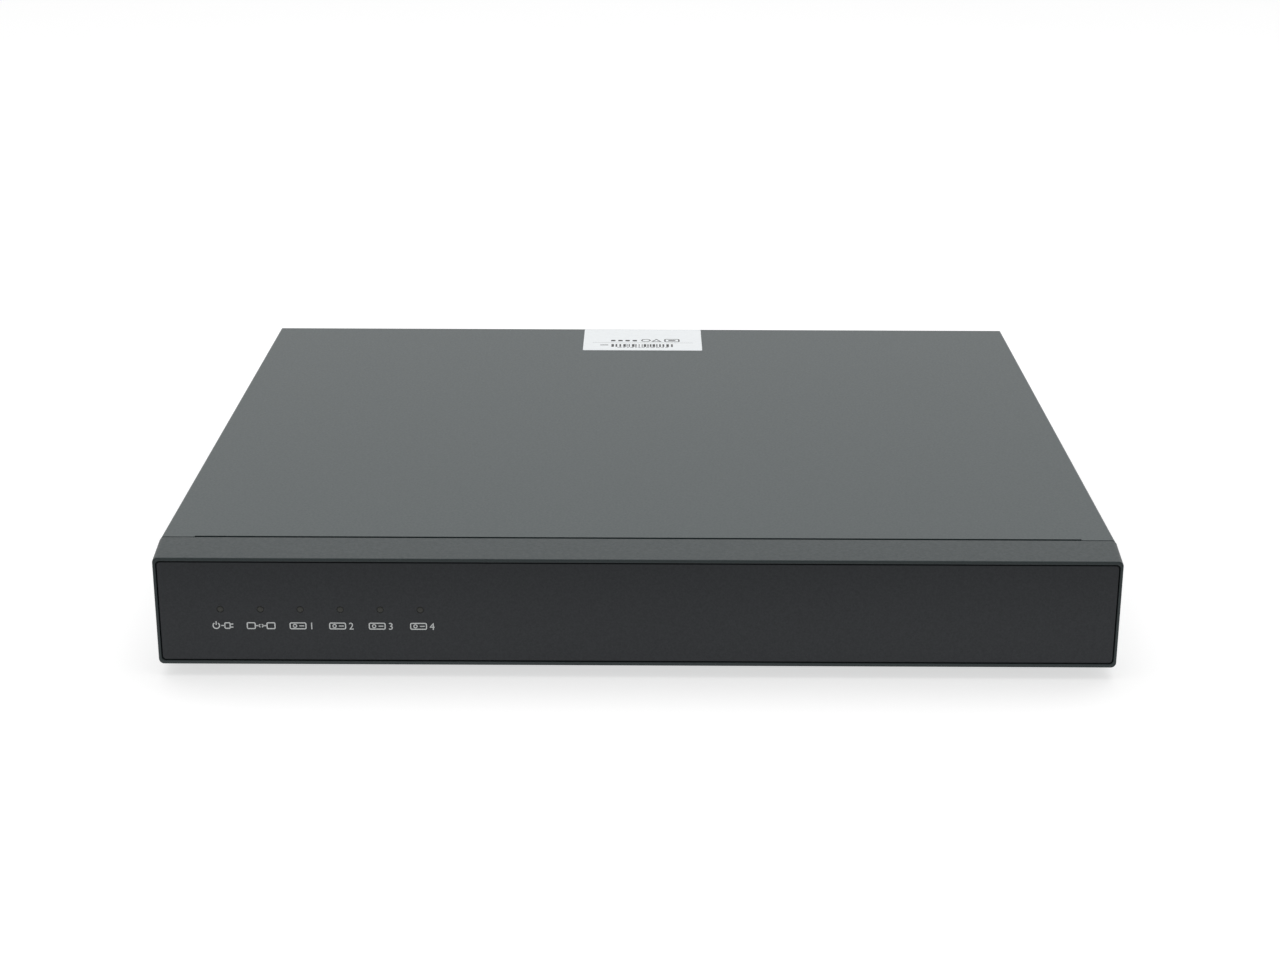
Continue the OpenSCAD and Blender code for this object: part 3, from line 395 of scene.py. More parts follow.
class Print:
    """Flat marks drawn across and up in millimetres, turned into thin raised ink."""

    def __init__(self, thickness):
        self.thickness = thickness / MM
        self.shape = Shape()

    def band(self, points, width, closed=False):
        """A line of even width."""
        left, right = stroke_band(points, width, closed)
        count = len(left)
        flat = np.concatenate([left, right, left, right])
        depth = np.repeat([0.0, self.thickness], 2 * count)
        corner = np.stack([flat[:, 0], depth, flat[:, 1]], -1)
        i = np.arange(count if closed else count - 1)
        j = (i + 1) % count
        b = 2 * count
        faces = np.concatenate([
            np.stack([i, j, j + count, i + count], -1),
            np.stack([b + i, b + i + count, b + j + count, b + j], -1),
            np.stack([i, b + i, b + j, j], -1),
            np.stack([i + count, j + count, b + j + count, b + i + count], -1)]).tolist()
        if not closed:
            faces += [[0, count, b + count, b], [count - 1, b + count - 1, b + 2 * count - 1,
                                                 2 * count - 1]]
        self.shape.add(corner, faces)
        return self

    def bar(self, x, z, width, height):
        """A filled rectangle about (x, z)."""
        return self.band([[x - width / 2, z], [x + width / 2, z]], height)

    def ring(self, x, z, radius, width, start=0.0, sweep=360.0, sides=28):
        """A circle, or a part of one from a start angle."""
        closed = sweep >= 360
        angle = np.radians(start + np.linspace(0, sweep, sides, endpoint=not closed))
        line = np.stack([x + radius * np.cos(angle), z + radius * np.sin(angle)], -1)
        return self.band(line, width, closed)

    def frame(self, x, z, width, height, radius, stroke):
        """The outline of a rectangle with round corners."""
        ring = rounded_rings(width / 2, height / 2, radius, 0.0, 4)[0]
        return self.band(np.stack([ring[:, 0] + x, ring[:, 2] + z], -1), stroke, True)

    def digits(self, text, x, z, height):
        """Numerals about (x, z), in Blender's own plain face."""
        curve = bpy.data.curves.new("numerals", "FONT")
        curve.body = text
        curve.align_x = "CENTER"
        curve.size = height / 0.70
        curve.resolution_u = 3
        curve.extrude = 0.0
        holder = bpy.data.objects.new("numerals", curve)
        bpy.context.scene.collection.objects.link(holder)
        view = bpy.context.evaluated_depsgraph_get()
        flat = bpy.data.meshes.new_from_object(holder.evaluated_get(view))
        edit = bmesh.new()
        edit.from_mesh(flat)
        bmesh.ops.remove_doubles(edit, verts=edit.verts, dist=1e-3)
        made = bmesh.ops.extrude_face_region(edit, geom=edit.faces[:])
        raised = [v for v in made["geom"] if isinstance(v, bmesh.types.BMVert)]
        bmesh.ops.translate(edit, verts=raised, vec=(0, 0, self.thickness))
        edit.verts.ensure_lookup_table()
        points = np.array([v.co[:] for v in edit.verts])
        faces = [[v.index for v in f.verts] for f in edit.faces]
        edit.free()
        bpy.data.objects.remove(holder)
        bpy.data.curves.remove(curve)
        bpy.data.meshes.remove(flat)
        points = np.stack([points[:, 0] + x, points[:, 2], points[:, 1] + z - height / 2], -1)
        self.shape.add(points, faces)
        return self

    def placed(self, origin, axes="xyz"):
        """The marks as a Shape, turned and moved to a place."""
        out = Shape()
        points = turn(np.concatenate(self.shape.points) * MM, axes) + np.asarray(origin, float)
        return out.add(points, self.shape.faces)


# ------------------------------------------------------------------ finishes


class Finish:
    """A material in the making, with short ways to add the nodes that every finish uses."""

    def __init__(self, name, colour, roughness, **sockets):
        self.material = bpy.data.materials.new(name)
        self.material.use_nodes = True
        self.tree = self.material.node_tree
        self.shader = self.tree.nodes["Principled BSDF"]
        self.place = self.tree.nodes.new("ShaderNodeTexCoord").outputs["Object"]
        self.base = (*colour, 1.0)
        self.shader.inputs["Base Color"].default_value = self.base
        self.shader.inputs["Roughness"].default_value = roughness
        for key, value in sockets.items():
            self.shader.inputs[key.replace("_", " ").title().replace("Ior",
                                                                     "IOR")].default_value = value

    def link(self, out, socket):
        """Joins an output to an input."""
        self.tree.links.new(out, socket)

    def stretched(self, scale, turned=(0, 0, 0)):
        """Object coordinates, scaled and turned."""
        node = self.tree.nodes.new("ShaderNodeMapping")
        node.inputs["Scale"].default_value = scale
        node.inputs["Rotation"].default_value = turned
        self.link(self.place, node.inputs["Vector"])
        return node.outputs["Vector"]

    def noise(self, scale, detail=3.0, rough=0.5, place=None):
        """Soft noise with so many features a metre."""
        node = self.tree.nodes.new("ShaderNodeTexNoise")
        node.inputs["Scale"].default_value = scale
        node.inputs["Detail"].default_value = detail
        node.inputs["Roughness"].default_value = rough
        self.link(place or self.place, node.inputs["Vector"])
        return node.outputs["Fac"]

    def cells(self, scale, place=None):
        """Distance to the nearest point of a Voronoi pattern."""
        node = self.tree.nodes.new("ShaderNodeTexVoronoi")
        node.inputs["Scale"].default_value = scale
        self.link(place or self.place, node.inputs["Vector"])
        return node.outputs["Distance"]

    def span(self, value, low_in, high_in, low_out=0.0, high_out=1.0):
        """Maps a value from one range to another and holds it there."""
        node = self.tree.nodes.new("ShaderNodeMapRange")
        for key, number in zip(("From Min", "From Max", "To Min", "To Max"),
                               (low_in, high_in, low_out, high_out)):
            node.inputs[key].default_value = number
        self.link(value, node.inputs["Value"])
        return node.outputs["Result"]

    def blend(self, factor, first, second):
        """A colour between two, which are colours or outputs."""
        node = self.tree.nodes.new("ShaderNodeMix")
        node.data_type = "RGBA"
        self.link(factor, node.inputs[0])
        for socket, value in ((node.inputs[6], first), (node.inputs[7], second)):
            if isinstance(value, bpy.types.NodeSocket):
                self.link(value, socket)
            else:
                socket.default_value = (*value[:3], 1.0)
        return node.outputs[2]

    def combine(self, first, second, how="ADD"):
        """Sum, product or another function of two values."""
        node = self.tree.nodes.new("ShaderNodeMath")
        node.operation = how
        for socket, value in zip(node.inputs, (first, second)):
            if isinstance(value, bpy.types.NodeSocket):
                self.link(value, socket)
            else:
                socket.default_value = value
        return node.outputs[0]

    def relief(self, height, strength, depth):
        """Bump on the shader, laid over what is there already."""
        node = self.tree.nodes.new("ShaderNodeBump")
        node.inputs["Strength"].default_value = strength
        node.inputs["Distance"].default_value = depth
        self.link(height, node.inputs["Height"])
        normal = self.shader.inputs["Normal"]
        if normal.links:
            self.link(normal.links[0].from_socket, node.inputs["Normal"])
        self.link(node.outputs["Normal"], normal)

    def tint(self, scale, amount, detail=3.0):
        """Varies the base colour a little, lighter and darker, with noise."""
        dark = tuple(c * (1 - amount) for c in self.base[:3])
        light = tuple(min(c * (1 + amount), 1) for c in self.base[:3])
        self.link(self.blend(self.span(self.noise(scale, detail), 0.3, 0.7), dark, light),
                  self.shader.inputs["Base Color"])

    def vary_roughness(self, scale, least, most, detail=3.0):
        """Varies the roughness between two values with noise."""
        self.link(self.span(self.noise(scale, detail), 0.3, 0.7, least, most),
                  self.shader.inputs["Roughness"])


def grained(name, colour, roughness, tint, vary=None, grain=None, depth=0.0, **sockets):
    """A finish whose colour is mottled with noise. Where they are given, its roughness
    varies between two values too, and it has a relief of finer noise, so many millimetres
    deep, whose strength comes last in the grain."""
    f = Finish(name, colour, roughness, **sockets)
    f.tint(*tint)
    if vary:
        f.vary_roughness(*vary)
    if grain:
        f.relief(f.noise(*grain[:-1]), grain[-1], depth * MM)
    return f


def powder_coat(name, colour, roughness=0.42):
    """Textured powder coat: orange-peel waves under a finer, sharper grain."""
    f = grained(name, colour, roughness, (1100, 0.12, 2),
                (900, roughness - 0.03, roughness + 0.04, 2),
                (520, 2, 0.5, 0.28), 0.05)
    f.relief(f.cells(1500), 0.22, 0.03 * MM)
    return f


def spark_plastic(name, colour, roughness=0.5, grain=2400):
    """Moulded plastic from a spark-eroded tool: a fine even grain and faint flow marks."""
    return grained(name, colour, roughness, (1300, 0.16, 2),
                   (700, roughness - 0.04, roughness + 0.05, 2), (grain, 2, 0.6, 0.32), 0.03,
                   specular_ior_level=0.36)


def plain_plastic(name, colour, roughness=0.38):
    """Smooth moulded plastic with a faint unevenness."""
    return grained(name, colour, roughness, (180, 0.07), (300, roughness - 0.05, roughness + 0.07),
                   (700, 2, 0.5, 0.10), 0.03)


def zinc_sheet(name):
    """Zinc-plated sheet: soft spangle and rolling lines."""
    f = Finish(name, (0.55, 0.57, 0.58), 0.34, metallic=1.0)
    spangle = f.span(f.cells(140), 0.0, 0.9)
    f.link(f.blend(spangle, (0.46, 0.48, 0.50), (0.62, 0.64, 0.65)), f.shader.inputs["Base Color"])
    f.link(f.span(f.noise(90, 4), 0.25, 0.75, 0.26, 0.46), f.shader.inputs["Roughness"])
    f.relief(f.noise(60, 3, 0.6, f.stretched((40, 1, 1))), 0.05, 0.02 * MM)
    return f


def bright_plate(name, colour=(0.60, 0.59, 0.56), roughness=0.2):
    """Nickel or tin plate: bright, with fine turning marks and faint dulling."""
    return grained(name, colour, roughness, (500, 0.05), (700, roughness - 0.06, roughness + 0.12),
                   (1800, 2, 0.5, 0.05), 0.02, metallic=1.0)


def brushed_metal(name, colour, roughness=0.3, lines=(1, 30, 30)):
    """Sheet metal brushed along one direction."""
    f = Finish(name, colour, roughness, metallic=1.0)
    grain = f.noise(160, 4, 0.6, f.stretched(lines))
    f.link(f.span(grain, 0.3, 0.7, roughness - 0.07, roughness + 0.12),
           f.shader.inputs["Roughness"])
    f.tint(40, 0.05)
    f.relief(grain, 0.06, 0.02 * MM)
    return f


def solder_mask(name, colour, pitch=1.1 * MM):
    """Solder mask over copper. Angular zones, the cells of a Voronoi pattern by the greatest
    of the distances along x and y, each hold tracks at one pitch that run along x, along y or
    aslant, or none; tinned dots show where tracks pass through the board."""
    f = Finish(name, colour, 0.30, coat_weight=0.25, coat_roughness=0.12)
    light = tuple(min(c * 2.0 + 0.012, 1) for c in colour)
    flat = f.stretched((1, 1, 0.0))
    zone = f.tree.nodes.new("ShaderNodeTexVoronoi")
    zone.distance = "CHEBYCHEV"
    zone.inputs["Scale"].default_value = 75
    f.link(flat, zone.inputs["Vector"])
    chance = f.tree.nodes.new("ShaderNodeSeparateColor")
    f.link(zone.outputs["Color"], chance.inputs[0])
    place = f.tree.nodes.new("ShaderNodeSeparateXYZ")
    f.link(flat, place.inputs[0])
    across, along = place.outputs["X"], place.outputs["Y"]
    aslant = f.combine(f.combine(across, along), math.sqrt(0.5), "MULTIPLY")
    lines = [f.span(f.combine(v, pitch, "PINGPONG"), pitch * 0.15, pitch * 0.24, 1.0, 0.0)
             for v in (across, along, aslant)]
    picks = [f.combine(chance.outputs["Red"], 0.36, "LESS_THAN"),
             f.combine(chance.outputs["Red"], 0.74, "GREATER_THAN")]
    tracks = f.blend(picks[0], f.blend(picks[1], lines[1], lines[2]), lines[0])
    shown = f.combine(chance.outputs["Green"], 0.72, "LESS_THAN")
    tracks = f.combine(tracks, shown, "MULTIPLY")
    dots = f.span(f.cells(270, place=flat), 0.10, 0.13)
    green = f.blend(tracks, colour, light)
    f.link(f.blend(dots, (0.50, 0.47, 0.36), green), f.shader.inputs["Base Color"])
    f.link(f.span(f.noise(300), 0.3, 0.7, 0.25, 0.38), f.shader.inputs["Roughness"])
    f.relief(tracks, 0.25, 0.03 * MM)
    return f


def phenolic(name):
    """Bare phenolic board, brown and slightly fibrous."""
    f = grained(name, (0.30, 0.17, 0.07), 0.45, (120, 0.14))
    f.relief(f.noise(500, 4, 0.6, f.stretched((1, 12, 1))), 0.12, 0.03 * MM)
    return f


def anodised(name, colour=(0.018, 0.018, 0.020)):
    """Black anodised aluminium with faint extrusion lines along y."""
    f = grained(name, colour, 0.38, (200, 0.12), metallic=0.55)
    f.relief(f.noise(260, 3, 0.6, f.stretched((1, 0.04, 1))), 0.12, 0.03 * MM)
    f.vary_roughness(300, 0.32, 0.48)
    return f


FINISHES = {}


def build_finishes(colours):
    """Makes each finish once and keeps its material by its name."""
    c = {key: tuple(getattr(colours, key)) for key in
         ("cover", "bezel", "panel", "print", "label", "rear", "board", "cable")}
    sheet = (0.62, 0.63, 0.65)
    black = (0.016, 0.016, 0.017)
    recipes = {
        "cover_paint": (powder_coat, c["cover"]),
        "panel_paint": (powder_coat, c["rear"], 0.48),
        "zinc_steel": (zinc_sheet,),
        "bezel_plastic": (spark_plastic, c["bezel"], 0.46),
        "front_plastic": (spark_plastic, c["panel"], 0.50, 2000),
        # Cloudy resin of an unlit status light, slightly lighter than the panel round it.
        "light_lens": (grained, (0.036, 0.037, 0.032), 0.42, (1500, 0.14), None,
                       (1200, 2, 0.5, 0.10),
                       0.03),
        # Coated label stock with faint fibres, and screen-printed ink.
        "label_paper": (grained, c["label"], 0.46, (350, 0.02), None, (900, 4, 0.5, 0.06), 0.02),
        "white_print": (grained, c["print"], 0.5, (2500, 0.06, 2), None, (3000, 2, 0.5, 0.08),
                        0.01),
        "black_print": (grained, (0.02, 0.02, 0.022), 0.5, (2500, 0.06, 2), None,
                        (3000, 2, 0.5, 0.08),
                        0.01),
        "screw_black": (bright_plate, (0.05, 0.05, 0.055), 0.38),
        "nickel": (bright_plate,),
        "rubber": (grained, (0.018, 0.018, 0.019), 0.72, (400, 0.25), (500, 0.62, 0.82),
                   (1600, 3, 0.5, 0.25), 0.04),
        "lamp_white": (plain_plastic, (0.66, 0.64, 0.52), 0.25),
        "cast_aluminium": (grained, (0.42, 0.43, 0.44), 0.48, (220, 0.12), (400, 0.40, 0.58),
                           (1400, 3, 0.5, 0.20), 0.04),
        "lid_steel": (brushed_metal, (0.60, 0.61, 0.62), 0.26, (30, 1, 30)),
        "disk": (grained, (0.80, 0.81, 0.83), 0.06, (60, 0.02), (100, 0.04, 0.09)),
        "board_green": (solder_mask, c["board"]),
        "board_tan": (phenolic,),
        "black_plastic": (plain_plastic, black),
        "chip_black": (plain_plastic, (0.014, 0.014, 0.015), 0.52),
        "black_aluminium": (anodised,),
        "plain_aluminium": (brushed_metal, sheet, 0.34, (1, 1, 20)),
        "can_aluminium": (brushed_metal, sheet, 0.24, (20, 20, 1)),
        "supply_cans": (plain_plastic, (0.035, 0.022, 0.075), 0.22),
        "winding": (plain_plastic, (0.52, 0.34, 0.04), 0.30),
        "ferrite": (plain_plastic, (0.030, 0.029, 0.030), 0.60),
        "brass": (grained, (0.70, 0.52, 0.22), 0.26, (300, 0.08), (600, 0.2, 0.4)),
        "core_white": (plain_plastic, (0.74, 0.73, 0.69), 0.34),
        "terminal_green": (plain_plastic, (0.020, 0.22, 0.055), 0.36),
        "button_red": (plain_plastic, (0.26, 0.018, 0.012), 0.34),
        "data_red": (plain_plastic, c["cable"], 0.34),
        "loom_black": (plain_plastic, black, 0.42),
        "wire_yellow": (plain_plastic, (0.62, 0.42, 0.02)),
        "wire_red": (plain_plastic, (0.44, 0.015, 0.012)),
        "wire_orange": (plain_plastic, (0.60, 0.17, 0.015)),
        "ribbon_grey": (plain_plastic, (0.34, 0.35, 0.36), 0.45),
        "lead_brown": (plain_plastic, (0.13, 0.045, 0.018), 0.36),
        "lead_blue": (plain_plastic, (0.02, 0.09, 0.34), 0.36),
        "lead_green": (plain_plastic, (0.06, 0.30, 0.03), 0.36),
        "copper_wire": (bright_plate, (0.60, 0.24, 0.10), 0.3),
        "tin": (bright_plate, (0.66, 0.66, 0.66), 0.32),
        "resistor": (plain_plastic, (0.02, 0.02, 0.022), 0.35),
        "ceramic": (plain_plastic, (0.36, 0.24, 0.13), 0.4),
    }
    sockets = {"light_lens": {"specular_ior_level": 0.35, "coat_weight": 0.1,
                              "coat_roughness": 0.3},
               "cast_aluminium": {"metallic": 0.9}, "disk": {"metallic": 1.0},
               "brass": {"metallic": 1.0}}
    for name, (recipe, *settings) in recipes.items():
        FINISHES[name] = recipe(name, *settings, **sockets.get(name, {})).material


def finish_of(name):
    """A finish by its name. Raises an error if the finishes weren't made first."""
    if name not in FINISHES:
        raise RuntimeError(f"the finish {name} is not there: run Finishes first")
    return FINISHES[name]


def paint(node, name):
    """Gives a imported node's own object a finish."""
    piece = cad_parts[node]
    if not piece.material_slots:
        piece.data.materials.append(finish_of(name))
    for slot in piece.material_slots:
        slot.material = finish_of(name)


def at(x, y, z):
    """A point given in millimetres from the middle of the bezel's face at the underside of
    the case, as an array in metres in the model's own frame."""
    return np.stack(np.broadcast_arrays(x, y, z), -1) * MM + [0, FRONT_Y, UNDER_Z]


def quarter(radius, steps=4):
    """Sine and one-minus-cosine of 0 to 90 degrees, times a radius: along a quarter circle
    the one grows from zero fast and the other slowly."""
    angle = np.linspace(0, math.pi / 2, steps + 1)
    return radius * np.sin(angle), radius * (1 - np.cos(angle))


def block(shape, x, y, z, size):
    """Adds a box by its corner and size in millimetres, with x about its middle."""
    points = box_points(np.array(size) * MM) + at(x, y + size[1] / 2, z)
    return shape.add(points, box_faces().tolist())


def pad(shape, x, y, z, size, corner=0.6, edge=0.25, steps=3):
    """Adds a slab with round corners and soft edges, lying flat, by its corner and size in
    millimetres, with x about its middle. The corners are rounded in plan."""
    size = np.asarray(size, float)
    rings = slab_rings(size[[0, 2, 1]] * MM, corner * MM, edge * MM, steps)
    rings = turn(rings, "x-zy") + at(x, y + size[1] / 2, z + size[2] / 2)
    return shape.rings(rings)


def plate(shape, x, y, z, size, corner=0.6, edge=0.25, steps=3):
    """Adds a slab as pad does, but standing up, with its corners rounded as seen along y.
    z is its middle."""
    size = np.asarray(size, float)
    rings = slab_rings(size * MM, corner * MM, edge * MM, steps) + at(x, y + size[1] / 2, z)
    return shape.rings(rings)


def turned(shape, x, y, z, profile, sides=32, axis="z"):
    """Adds a lathed solid from (radius, height) pairs in millimetres, along z or along y."""
    rings = lathe_rings(np.array(profile) * MM, sides)
    if axis == "y":
        rings = turn(rings, "xz-y")
    return shape.rings(rings + at(x, y, z))


# ------------------------------------------------------------------ bezel and front


def bezel_shell(s):
    """The moulded bezel as one skin of rings about the y axis. From the front wall's back
    the rings run out along the inner walls, over the rear edge, forward along the outer
    walls, which draw in evenly towards the face, round the face's edge by a quarter circle,
    across the rim, round its inner edge and back along the recess to the front wall."""
    back_w = float(high("front_bezel")[0])
    half_h = (TOP_Z - UNDER_Z) / 2
    rows = []

    def half_w(y):
        return back_w - s.bezel_draw * (1 - np.asarray(y) / s.bezel_depth)

    def row(y, w, h, r):
        rows.extend(zip(*(np.atleast_1d(v) for v in np.broadcast_arrays(y, w, h, r))))

    inner_r = s.corner_radius - s.bezel_wall / 2
    for y in (4.4 * MM, s.bezel_depth - 0.2 * MM):
        row(y, half_w(y) - s.bezel_wall, half_h - s.bezel_wall, inner_r)
    row(s.bezel_depth, half_w(s.bezel_depth) - s.bezel_wall + 0.2 * MM,
        half_h - s.bezel_wall + 0.2 * MM, inner_r + 0.2 * MM)
    fast, slow = quarter(0.3 * MM)
    row(s.bezel_depth - slow, half_w(s.bezel_depth) - 0.3 * MM + fast,
        half_h - 0.3 * MM + fast, s.corner_radius - 0.3 * MM + fast)
    fast, slow = quarter(s.face_edge, 6)
    row(s.face_edge - fast, half_w(s.face_edge) - slow, half_h - slow, s.corner_radius - slow)
    recess = (half_w(0) - s.rim_side, half_h - s.rim_top, 1.8 * MM)
    fast, slow = quarter(0.25 * MM)
    row(slow, *(v + 0.25 * MM - fast for v in recess))
    row(2.3 * MM, *recess)
    row(2.4 * MM, *(v - 0.1 * MM for v in recess))
    y, w, h, r = np.array(rows).T
    return rounded_rings(w, h, r, y + FRONT_Y, 8) + [0, 0, (TOP_Z + UNDER_Z) / 2]


LIGHT_X = -189.3 + 18.15 * np.arange(6)
LIGHT_Z = 27.0
MARK_X = (-189.3, -171.1, -152.7, -134.7, -116.7, -97.9)
MARK_Z = 19.0
FRONT_PLATE_Y = 0.3
LABEL_STOCK = 0.12
BOSS_X = (-190, -70, 70, 190)


def make_bezel(s):
    """The bezel with its screw bosses, and the tongue that the cover's edge lies on."""
    shape = Shape().rings(bezel_shell(s))
    for x in BOSS_X:
        turned(shape, x, 4.2, 10, [(3.4, 0), (3.4, 22.2), (3.1, 22.5), (1.6, 22.5), (1.35, 22.2),
                                   (1.35, 14)],
               24, "y")
    for x in (LIGHT_X[0] - 9, LIGHT_X[-1] + 9):
        turned(shape, x, 4.2, LIGHT_Z, [(2.4, 0), (2.4, 5.8), (1.1, 5.8), (1.1, 8.4), (0.9, 8.6)],
               16, "y")
    pad(shape, 0, 24.7, 49.7, (406, 10, 1), 1.0, 0.25)
    return make("bezel", shape, "bezel_plastic",
                replaces=("front_bezel",))


def cut(piece, cutter):
    """Takes a cutter's volume away from a piece for good, and removes the cutter."""
    piece.modifiers.clear()
    cutter.modifiers.clear()
    knife = piece.modifiers.new("Holes", "BOOLEAN")
    knife.object = cutter
    knife.solver = "EXACT"
    view = bpy.context.evaluated_depsgraph_get()
    whole = bpy.data.meshes.new_from_object(piece.evaluated_get(view))
    piece.modifiers.clear()
    old = piece.data
    name = old.name
    piece.data = whole
    bpy.data.meshes.remove(old)
    whole.name = name
    spare = cutter.data
    bpy.data.objects.remove(cutter)
    bpy.data.meshes.remove(spare)


def make_front_panel(s):
    """The plate in the bezel's recess, with soft edges, a flared hole for each light, and
    the pegs behind it."""
    box = high("front_panel") - low("front_panel")
    shape = Shape()
    plate(shape, 0, FRONT_PLATE_Y, 26, (box[0] / MM, 2, box[2] / MM), 1.6, s.panel_edge / MM, 6)
    piece = make("front_plate", shape, "front_plastic",
                 replaces=("front_panel",))
    holes = Shape()
    for x in LIGHT_X:
        turned(holes, x, -1, LIGHT_Z, [(1.66, 0), (1.66, 1.3), (1.5, 1.46), (1.5, 5)], 40, "y")
    cut(piece, make("holes", holes, "front_plastic"))
    level_shading(dress(piece, "front_plastic",
                        replaces=("front_panel",)))
    pegs = Shape()
    for x in (-205, -68.3, 68.3, 205):
        for z in (12, 40):
            turned(pegs, x, 2.2, z, [(1.15, 0), (1.15, 2.3), (0.9, 2.55)], 16, "y")
    make("panel_pegs", pegs, "front_plastic")


def make_lights():
    """Light pipes with domed ends and a collar, and the lamps behind them."""
    pipes = Shape()
    for x in LIGHT_X:
        turned(pipes, x, 0.3, LIGHT_Z, [(0.5, 0.02), (1.0, 0.05), (1.28, 0.1), (1.41, 0.19),
                                        (1.45, 0.32),
                                        (1.45, 4.15), (2.2, 4.15), (2.3, 4.25), (2.3, 4.95),
                                        (2.2, 5.05), (1.45, 5.05), (1.45, 8.5), (1.35, 8.6)], 36,
                                        "y")
    make("light_pipe_set", pipes, "light_lens", replaces=("light_pipes",))
    softened("status_leds", "lamp_white", 0.15 * MM)


def make_front_marks(s):
    """The marks under the lights, as generic signs in thin ink: a power sign, a link
    between two boxes, and four drives with their numbers."""
    drawn = Print(s.ink)
    h = s.mark_height / MM
    w = s.mark_stroke / MM
    x = MARK_X
    drawn.ring(x[0] - 2.2, 0, h * 0.43, w, 125, 290, 30)
    drawn.band([[x[0] - 2.2, 0.1 * h], [x[0] - 2.2, 0.62 * h]], w)
    drawn.bar(x[0] + 0.9, 0, 1.6, w)
    drawn.frame(x[0] + 2.9, 0, 2.4, 0.8 * h, 0.5, w)
    for side in (-1, 1):
        drawn.bar(x[0] + 4.9, side * 0.75, 1.3, w)
    for side in (-1, 1):
        drawn.frame(x[1] + side * 4.5, 0, 3.6, h - w, 0.5, w)
        drawn.bar(x[1] + side * 1.75, 0, 1.3, w)
        drawn.band([[x[1] + side * 0.35, -0.75], [x[1] + side * 1.15, 0],
                    [x[1] + side * 0.35, 0.75]], w * 0.9)
    for i in range(4):
        c = x[2 + i]
        drawn.frame(c - 1.6, 0, 7.2, h - w, 0.6, w)
        drawn.ring(c - 3.0, 0, 0.75, w * 0.85)
        drawn.bar(c + 0.1, 0, 2.2, w * 0.85)
        drawn.digits(str(i + 1), c + 4.6, 0, h)
    make("front_marks", drawn.placed(at(0, FRONT_PLATE_Y, MARK_Z), "x-yz"), "white_print")


def make_label(s):
    """The label on the cover's rear edge: stock with round corners and, in thin ink, three
    plain signs, a rule, a row of bars and short dashes under them."""
    box_low, box_high = low("cover_label"), high("cover_label")
    size = (box_high - box_low) / MM
    stock = LABEL_STOCK
    where = (box_low + box_high) / 2
    shape = Shape()
    rings = slab_rings(np.array([size[0], stock, size[1]]) * MM, 0.8 * MM, 0.03 * MM, 4)
    shape.rings(turn(rings, "x-zy") + [where[0], where[1], box_low[2] + stock / 2 * MM])
    make("label", shape, "label_paper", "cover", replaces=("cover_label",))
    random = np.random.default_rng(7)
    drawn = Print(s.ink)
    for k in range(4):
        drawn.bar(-17.6 + 4.3 * k, -2.0, 2.6, 2.9)
    drawn.ring(2.0, -1.4, 2.5, 0.8)
    drawn.band([[5.8, -3.8], [10.8, -3.8], [8.3, 1.0]], 0.8, True)
    drawn.frame(17.6, -1.4, 8.4, 5.4, 0.8, 0.8)
    drawn.bar(17.6, -1.4, 4.2, 1.8)
    drawn.bar(0, -6.6, 60, 0.18)
    drawn.bar(-22.8, -11.6, 4.8, 1.2)
    x = -18.6
    while x < 18.6:
        wide = float(random.choice([0.5, 0.7, 1.0, 1.5]))
        drawn.bar(x + wide / 2, -12.6, wide, 5.8)
        x += wide + float(random.choice([0.5, 0.7, 1.0, 1.3]))
    x = -15.0
    while x < 15:
        wide = float(random.uniform(1.1, 2.6))
        drawn.bar(x + wide / 2, -16.9, wide, 0.7)
        x += wide + 0.8
    place = [where[0], where[1], box_low[2] + stock * MM]
    make("label_print", drawn.placed(place, "xzy"), "black_print", "cover")


# ------------------------------------------------------------------ rear connectors


def soft_ring(corners, cut_back, steps=4):
    """A closed ring round a flat shape whose corners are (across, up) pairs in order. Each
    corner gives way to the quadratic curve that starts and ends a cut-back length away from
    it along its two sides and leans on the corner itself."""
    p = np.asarray(corners, float)
    before = np.roll(p, 1, 0) - p
    after = np.roll(p, -1, 0) - p
    before *= cut_back / np.linalg.norm(before, axis=1, keepdims=True)
    after *= cut_back / np.linalg.norm(after, axis=1, keepdims=True)
    t = np.linspace(0, 1, steps + 1)[None, :, None]
    return ((1 - t)**2 * (p + before)[:, None] + 2 * t * (1 - t) * p[:, None]
            + t**2 * (p + after)[:, None]).reshape(-1, 2)


def walled(shape, x, z, corners, rows, cut_back=0.8):
    """Adds a skin of rings along y. Each row is (inset, y): the outline with every corner
    moved towards the middle by the inset, both ways, at that y."""
    corners = np.asarray(corners, float)
    rings = [soft_ring(corners - np.sign(corners) * inset, max(cut_back - inset * 0.5, 0.1))
             for inset, _ in rows]
    y = np.array([v for _, v in rows])[:, None]
    flat = np.stack(rings)
    return shape.rings(at(x + flat[..., 0], y, z + flat[..., 1]))


def oblong(w, h, lean=0.0):
    """Corners of a rectangle about the origin, its lower side drawn in by a lean."""
    return np.array([[w / 2, h / 2], [-w / 2, h / 2], [-w / 2 + lean, -h / 2],
                     [w / 2 - lean, -h / 2]])


def nut(shape, x, y, z, corner, bore, height, depth, sides=48):
    """Adds a six-sided nut along y with a round bore. Its radius at an angle is the flat's
    distance over the cosine of the angle from the flat's middle, and at both faces no more
    than a little over the flat's distance, which chamfers the corners."""
    angle = np.arange(sides) * math.tau / sides
    flat = corner * math.cos(math.pi / 6)
    six = flat / np.cos(angle % (math.pi / 3) - math.pi / 6)
    worn = np.minimum(six, flat * 1.03)
    radius = np.stack([worn, six, six, worn, six * 0 + bore + 0.2, six * 0 + bore, six * 0 + bore])
    along = np.array([0, 0.3, height - 0.3, height, height, height - 0.2, height - depth])[:, None]
    return shape.rings(at(x + radius * np.cos(angle), y + along, z + radius * np.sin(angle)))


